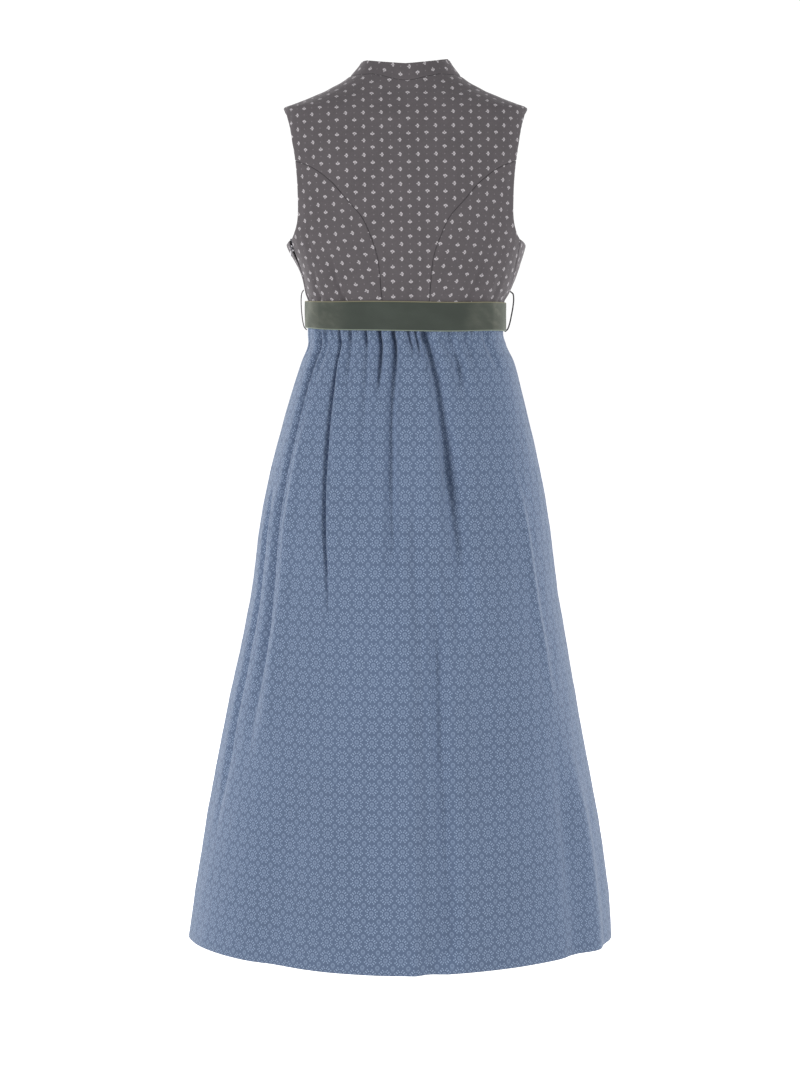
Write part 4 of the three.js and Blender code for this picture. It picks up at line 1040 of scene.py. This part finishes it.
belt, s, t = flat_grid("ribbon_belt", BELT_COLUMNS, 18)
angle = (180 + BELT["lap_angle"]) * (1 - 2 * s)
edge = 2 * t - 1
points = ring(angle, BELT["centre"] + edge * BELT["width"] / 2, BELT["half"], BELT["back"], BELT["front"],
              TORSO_ROUNDNESS, BELT["forward"])
normal = np.stack([points[:, 0] / BELT["half"] ** 2, points[:, 1] / BELT["back"] ** 2], axis=-1)
normal /= np.linalg.norm(normal, axis=1)[:, None]
lapped = BELT["lap"] * smooth(-angle, 140, 180 - BELT["lap_angle"])
wave = (0.3 * np.sin(angle * 0.13 + 1.0) * edge + 0.22 * np.sin(angle * 0.31) * np.sin(edge * 2.2 + 0.5)
        - 0.35 * np.abs(edge) ** 8)
points[:, :2] += normal * (BELT["wall"] + lapped + wave)[:, None]
points[:, 2] += BELT["tilt"] * points[:, 0] + 0.4 * np.sin(angle * 0.09 + 0.4)
sine = np.sin(np.radians(angle))
side_rise = (LOWER_EDGE_RISE["sides"] + LOWER_EDGE_RISE["left_side"] * sine) * sine ** 2
points[:, 2] += (1 - edge) / 2 * (LOWER_EDGE_RISE["everywhere"] + side_rise)
run = lengths_along(points[:BELT_COLUMNS + 1])
lay(belt, points, np.stack([np.interp(s, s[:BELT_COLUMNS + 1], run), edge * BELT["width"] / 2], axis=-1))
finish_with(belt, velvet_ribbon())
thicken(belt, BELT["wall"], 0.4)
declare(belt, "belt")


# Belt loops
# Two loops of twisted sewing thread, one at each side, sewn in just over the ribbon and just under it.
# Each is two plies wound round each other.
LOOP_Y = 6.0
LOOP_TWIST = 3.2
LOOP_STEPS = 120
LOOPS = {  # side: thread colour, radius, then places (x, z) down the loop
    "left": (srgb(98, 88, 95), 0.85, [
        (134.6, -279), (137, -283), (138, -290), (137.8, -303), (136.8, -314), (135.6, -322), (133.9, -328),
        (130.8, -331.6)]),
    "right": (srgb(60, 56, 60), 1.15, [
        (-138.4, -281), (-142, -284), (-143, -291), (-142, -302), (-139.8, -314), (-137.6, -324),
        (-135.2, -330.5), (-131.6, -334)]),
}


def thread_finish(name, colour):
    thread = Finish(name)
    fibres = thread.noise(900, 3)
    return thread.principled(
        Base_Color=thread.blend(fibres.rises(0.35, 0.7), shade(colour, 0.75), shade(colour, 1.15)),
        Roughness=0.7, Normal=thread.bump(fibres, 0.06, 0.6), Sheen_Weight=0.3)


def thread_along(path, radius, name, turns=0.0, phase=0.0):
    """A round thread along points in millimetres, wound round them if it has turns. Its ends are closed."""
    bpy.ops.object.select_all(action="DESELECT")
    bpy.ops.curve.primitive_nurbs_path_add()
    thread = bpy.context.object
    thread.name = name
    thread.data.splines.clear()
    spline = thread.data.splines.new("POLY")
    spline.points.add(len(path) - 1)
    if turns:
        tangent = np.gradient(path, axis=0)
        side = np.cross(tangent, (0.0, 1.0, 0.0))
        side /= np.linalg.norm(side, axis=1)[:, None]
        wind = np.linspace(0, turns * 2 * math.pi, len(path))[:, None] + phase
        path = path + radius * (np.cos(wind) * side + np.sin(wind) * np.array((0.0, 1.0, 0.0)))
    spline.points.foreach_set("co", np.column_stack([path * MM, np.ones(len(path))]).ravel())
    thread.data.dimensions = "3D"
    thread.data.bevel_depth = radius * MM
    thread.data.bevel_resolution = 1
    thread.data.use_fill_caps = True
    bpy.ops.object.convert(target="MESH")
    bpy.ops.object.shade_smooth_by_angle(angle=math.radians(60))
    return bpy.context.object


def joined(pieces, name):
    bpy.ops.object.select_all(action="DESELECT")
    for piece in pieces:
        piece.select_set(True)
    bpy.context.view_layer.objects.active = pieces[0]
    bpy.ops.object.join()
    whole = bpy.context.object
    whole.name = whole.data.name = name
    return whole


for side, (colour, radius, places) in LOOPS.items():
    line = curve_through(places, LOOP_STEPS)
    path = np.stack([line[:, 0], np.full(LOOP_STEPS + 1, LOOP_Y), line[:, 1]], axis=-1)
    turns = np.linalg.norm(np.diff(path, axis=0), axis=1).sum() / LOOP_TWIST
    plies = [thread_along(path, radius / 2, f"ply_{i}", turns, i * math.pi) for i in range(2)]
    loop = joined(plies, f"thread_loop_{side}")
    finish_with(loop, thread_finish(f"loop_thread_{side}", colour))
    declare(loop, f"belt_loop_{side}")


# Side zip
# Under the left arm, two dark woven tapes carry a nylon coil behind the opening between side back and side
# front. The metal slider sits at the top of the opening, and its pull tab hangs from the slider's eye.
ZIP = {"sink": 2.9, "tape_wall": 1.0, "overlap": 3.0}
COIL = {"top": -231.0, "margin": 1.5, "pitch": 1.5, "sink": 0.6, "deep": 0.4, "wide": 1.1, "apart": 0.5,
        "thread": 0.22, "points": 700}
TAPE_DARK = srgb(52, 49, 57)
NICKEL = (0.27, 0.26, 0.28)


def zip_tape_finish():
    tape = Finish("zip_tape_weave")
    across, up = tape.on_cloth()
    ribs = (up * (2 * math.pi / 0.8)).sine() * 0.5 + 0.5
    herring = ((across.size() + up * 0.5) * (2 * math.pi / 1.6)).sine() * 0.5 + 0.5
    return tape.principled(
        Base_Color=tape.blend(herring * 0.4, TAPE_DARK, shade(TAPE_DARK, 1.6)), Roughness=0.75,
        Normal=tape.bump(ribs * 0.5 + herring * 0.5, 0.15, 0.6))


def on_zip(z, share):
    """Angles of places across the zip opening, from 0 at its back edge to 1 at its front edge."""
    edge_angle = np.interp(z, side_seam[:, 1], side_seam[:, 0])
    return edge_angle + share * zip_gap_at(z) / width_at(bodice_form, np.stack([edge_angle, z], axis=-1))


tape, s, t = flat_grid("zip_tapes", 20, 70)
z = mix(ZIP_GAP["bottom"], side_seam[-1, 1], t)
margin = ZIP["overlap"] / zip_gap_at(z)
share = mix(1 + margin, -margin, s)
angle = on_zip(z, share)
lay(tape, bodice_form(angle, z) - outward(bodice_form, angle, z) * ZIP["sink"],
    np.stack([(0.5 - share) * zip_gap_at(z), z - ZIP_GAP["bottom"]], axis=-1))
finish_with(tape, zip_tape_finish())
thicken(tape, ZIP["tape_wall"], 0.25)
declare(tape, "zip_tape")

nylon = Finish("coil_nylon")
nylon.principled(
    Base_Color=nylon.blend(nylon.noise(700), shade(TAPE_DARK, 1.3), shade(TAPE_DARK, 2.2)), Roughness=0.4)
z = np.linspace(ZIP_GAP["bottom"] + COIL["margin"], COIL["top"], COIL["points"])
angle = on_zip(z, 0.5)
out = outward(bodice_form, angle, z)
sideways = np.cross(out, (0.0, 0.0, 1.0))
sideways /= np.linalg.norm(sideways, axis=1)[:, None]
wind = (z - z[0])[:, None] / COIL["pitch"] * 2 * math.pi
strands = []
for side in (-1, 1):
    line = (bodice_form(angle, z) - out * (ZIP["sink"] - COIL["sink"] - COIL["deep"] * np.sin(wind))
            + sideways * side * (COIL["wide"] * np.cos(wind) + COIL["apart"]))
    strands.append(thread_along(line, COIL["thread"], f"strand_{side}"))
coil = joined(strands, "zip_coil")
finish_with(coil, nylon.material)
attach(coil, "dress")

metal = Finish("dark_nickel")
scratches = metal.noise(1400, 4)
metal.principled(
    Base_Color=metal.blend(metal.noise(300).rises(0.35, 0.7), shade(NICKEL, 0.8), NICKEL), Metallic=1.0,
    Roughness=0.42 + 0.18 * scratches, Normal=metal.bump(scratches, 0.02, 0.5))
for node in ("zip_slider", "zip_pull"):
    finish_with(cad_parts[node], metal.material)


# Buttons
# Three small horn-like buttons with a dished face and four holes, sewn through with crossed thread.
# They stand on the placket's middle line and hold it shut.
BUTTON = {"radius": 5.5, "thickness": 3.0, "heights": (-94, -130, -166), "hole": 0.75, "hole_out": 1.55}
DISH = ((1.0, 0.0), (0.9, -0.9), (1.2, -0.15))  # steps in from the rim: width, height
CROSS = {"foot": 1.2, "arch": 1.25, "thread": 0.3}
HORN_DARK = srgb(58, 48, 42)


def horn_finish():
    horn = Finish("dark_horn")
    place = horn.node("ShaderNodeTexCoord", {}, output=3)
    where = horn.node("ShaderNodeMapping", {}, place, Scale=(1.0, 1.0, 4.0))
    streaks = horn.noise(160, 5, where)
    return horn.principled(
        Base_Color=horn.blend(streaks.rises(0.35, 0.7), shade(HORN_DARK, 0.6), shade(HORN_DARK, 2.2)),
        Roughness=0.32 + 0.2 * horn.noise(900), Normal=horn.bump(horn.noise(500), 0.04, 0.4), Coat_Weight=0.2)


def select_faces(piece, wanted):
    """In edit mode, selects the faces for which wanted(normal) is true."""
    bpy.ops.object.mode_set(mode="OBJECT")
    for face in piece.data.polygons:
        face.select = bool(wanted(face.normal))
    bpy.ops.object.mode_set(mode="EDIT")


bpy.ops.object.select_all(action="DESELECT")
bpy.ops.mesh.primitive_cylinder_add(
    vertices=48, radius=BUTTON["radius"] * MM, depth=BUTTON["thickness"] * MM,
    location=(0, 0, BUTTON["thickness"] / 2 * MM))
button = bpy.context.object
button.name = "button_blank"
bpy.ops.object.transform_apply(location=True)
bpy.ops.object.mode_set(mode="EDIT")
bpy.ops.mesh.select_mode(type="FACE")
select_faces(button, lambda normal: normal.z > 0.9)
for width, height in DISH:
    bpy.ops.mesh.inset(thickness=width * MM, depth=height * MM)
bpy.ops.object.mode_set(mode="OBJECT")
corners = [math.pi / 4 + i * math.pi / 2 for i in range(4)]
holes = []
for turn in corners:
    bpy.ops.mesh.primitive_cylinder_add(
        vertices=16, radius=BUTTON["hole"] * MM, depth=8 * MM,
        location=(BUTTON["hole_out"] * math.cos(turn) * MM, BUTTON["hole_out"] * math.sin(turn) * MM, 0))
    holes.append(bpy.context.object)
drill = joined(holes, "button_drill")
cut = button.modifiers.new("holes", "BOOLEAN")
cut.object = drill
cut.solver = "EXACT"
round_edges(button, 0.28, 3, 35, 40)
bpy.data.objects.remove(drill)
finish_with(button, horn_finish())
share = np.linspace(-1, 1, 25)
crosses = []
for turn in corners[:2]:
    arc = np.stack([share * BUTTON["hole_out"] * math.cos(turn), share * BUTTON["hole_out"] * math.sin(turn),
                    CROSS["foot"] + CROSS["arch"] * (1 - share ** 4)], axis=-1)
    crosses.append(thread_along(arc, CROSS["thread"], "cross"))
cross = joined(crosses, "button_thread")
finish_with(cross, thread_finish("button_thread", srgb(92, 88, 92)))
button = joined([button, cross], "button_model")
for i, z in enumerate(BUTTON["heights"]):
    angle, z = np.array([180.0]), np.array([float(z)])
    normal = outward(bodice_form, angle, z)[0]
    bpy.ops.object.select_all(action="DESELECT")
    copy = button.copy()
    copy.data = button.data.copy()
    bpy.context.collection.objects.link(copy)
    copy.name = copy.data.name = f"horn_button_{i + 1}"
    copy.rotation_euler = Vector(normal).to_track_quat("Z", "Y").to_euler()
    copy.location = (bodice_form(angle, z)[0] + normal * (PLACKET["lift"] + PLACKET["wall"] + 0.3)) * MM
    copy.select_set(True)
    bpy.context.view_layer.objects.active = copy
    bpy.ops.object.transform_apply(location=True, rotation=True, scale=True)
    declare(copy, f"button_{i + 1}")
bpy.data.objects.remove(button)
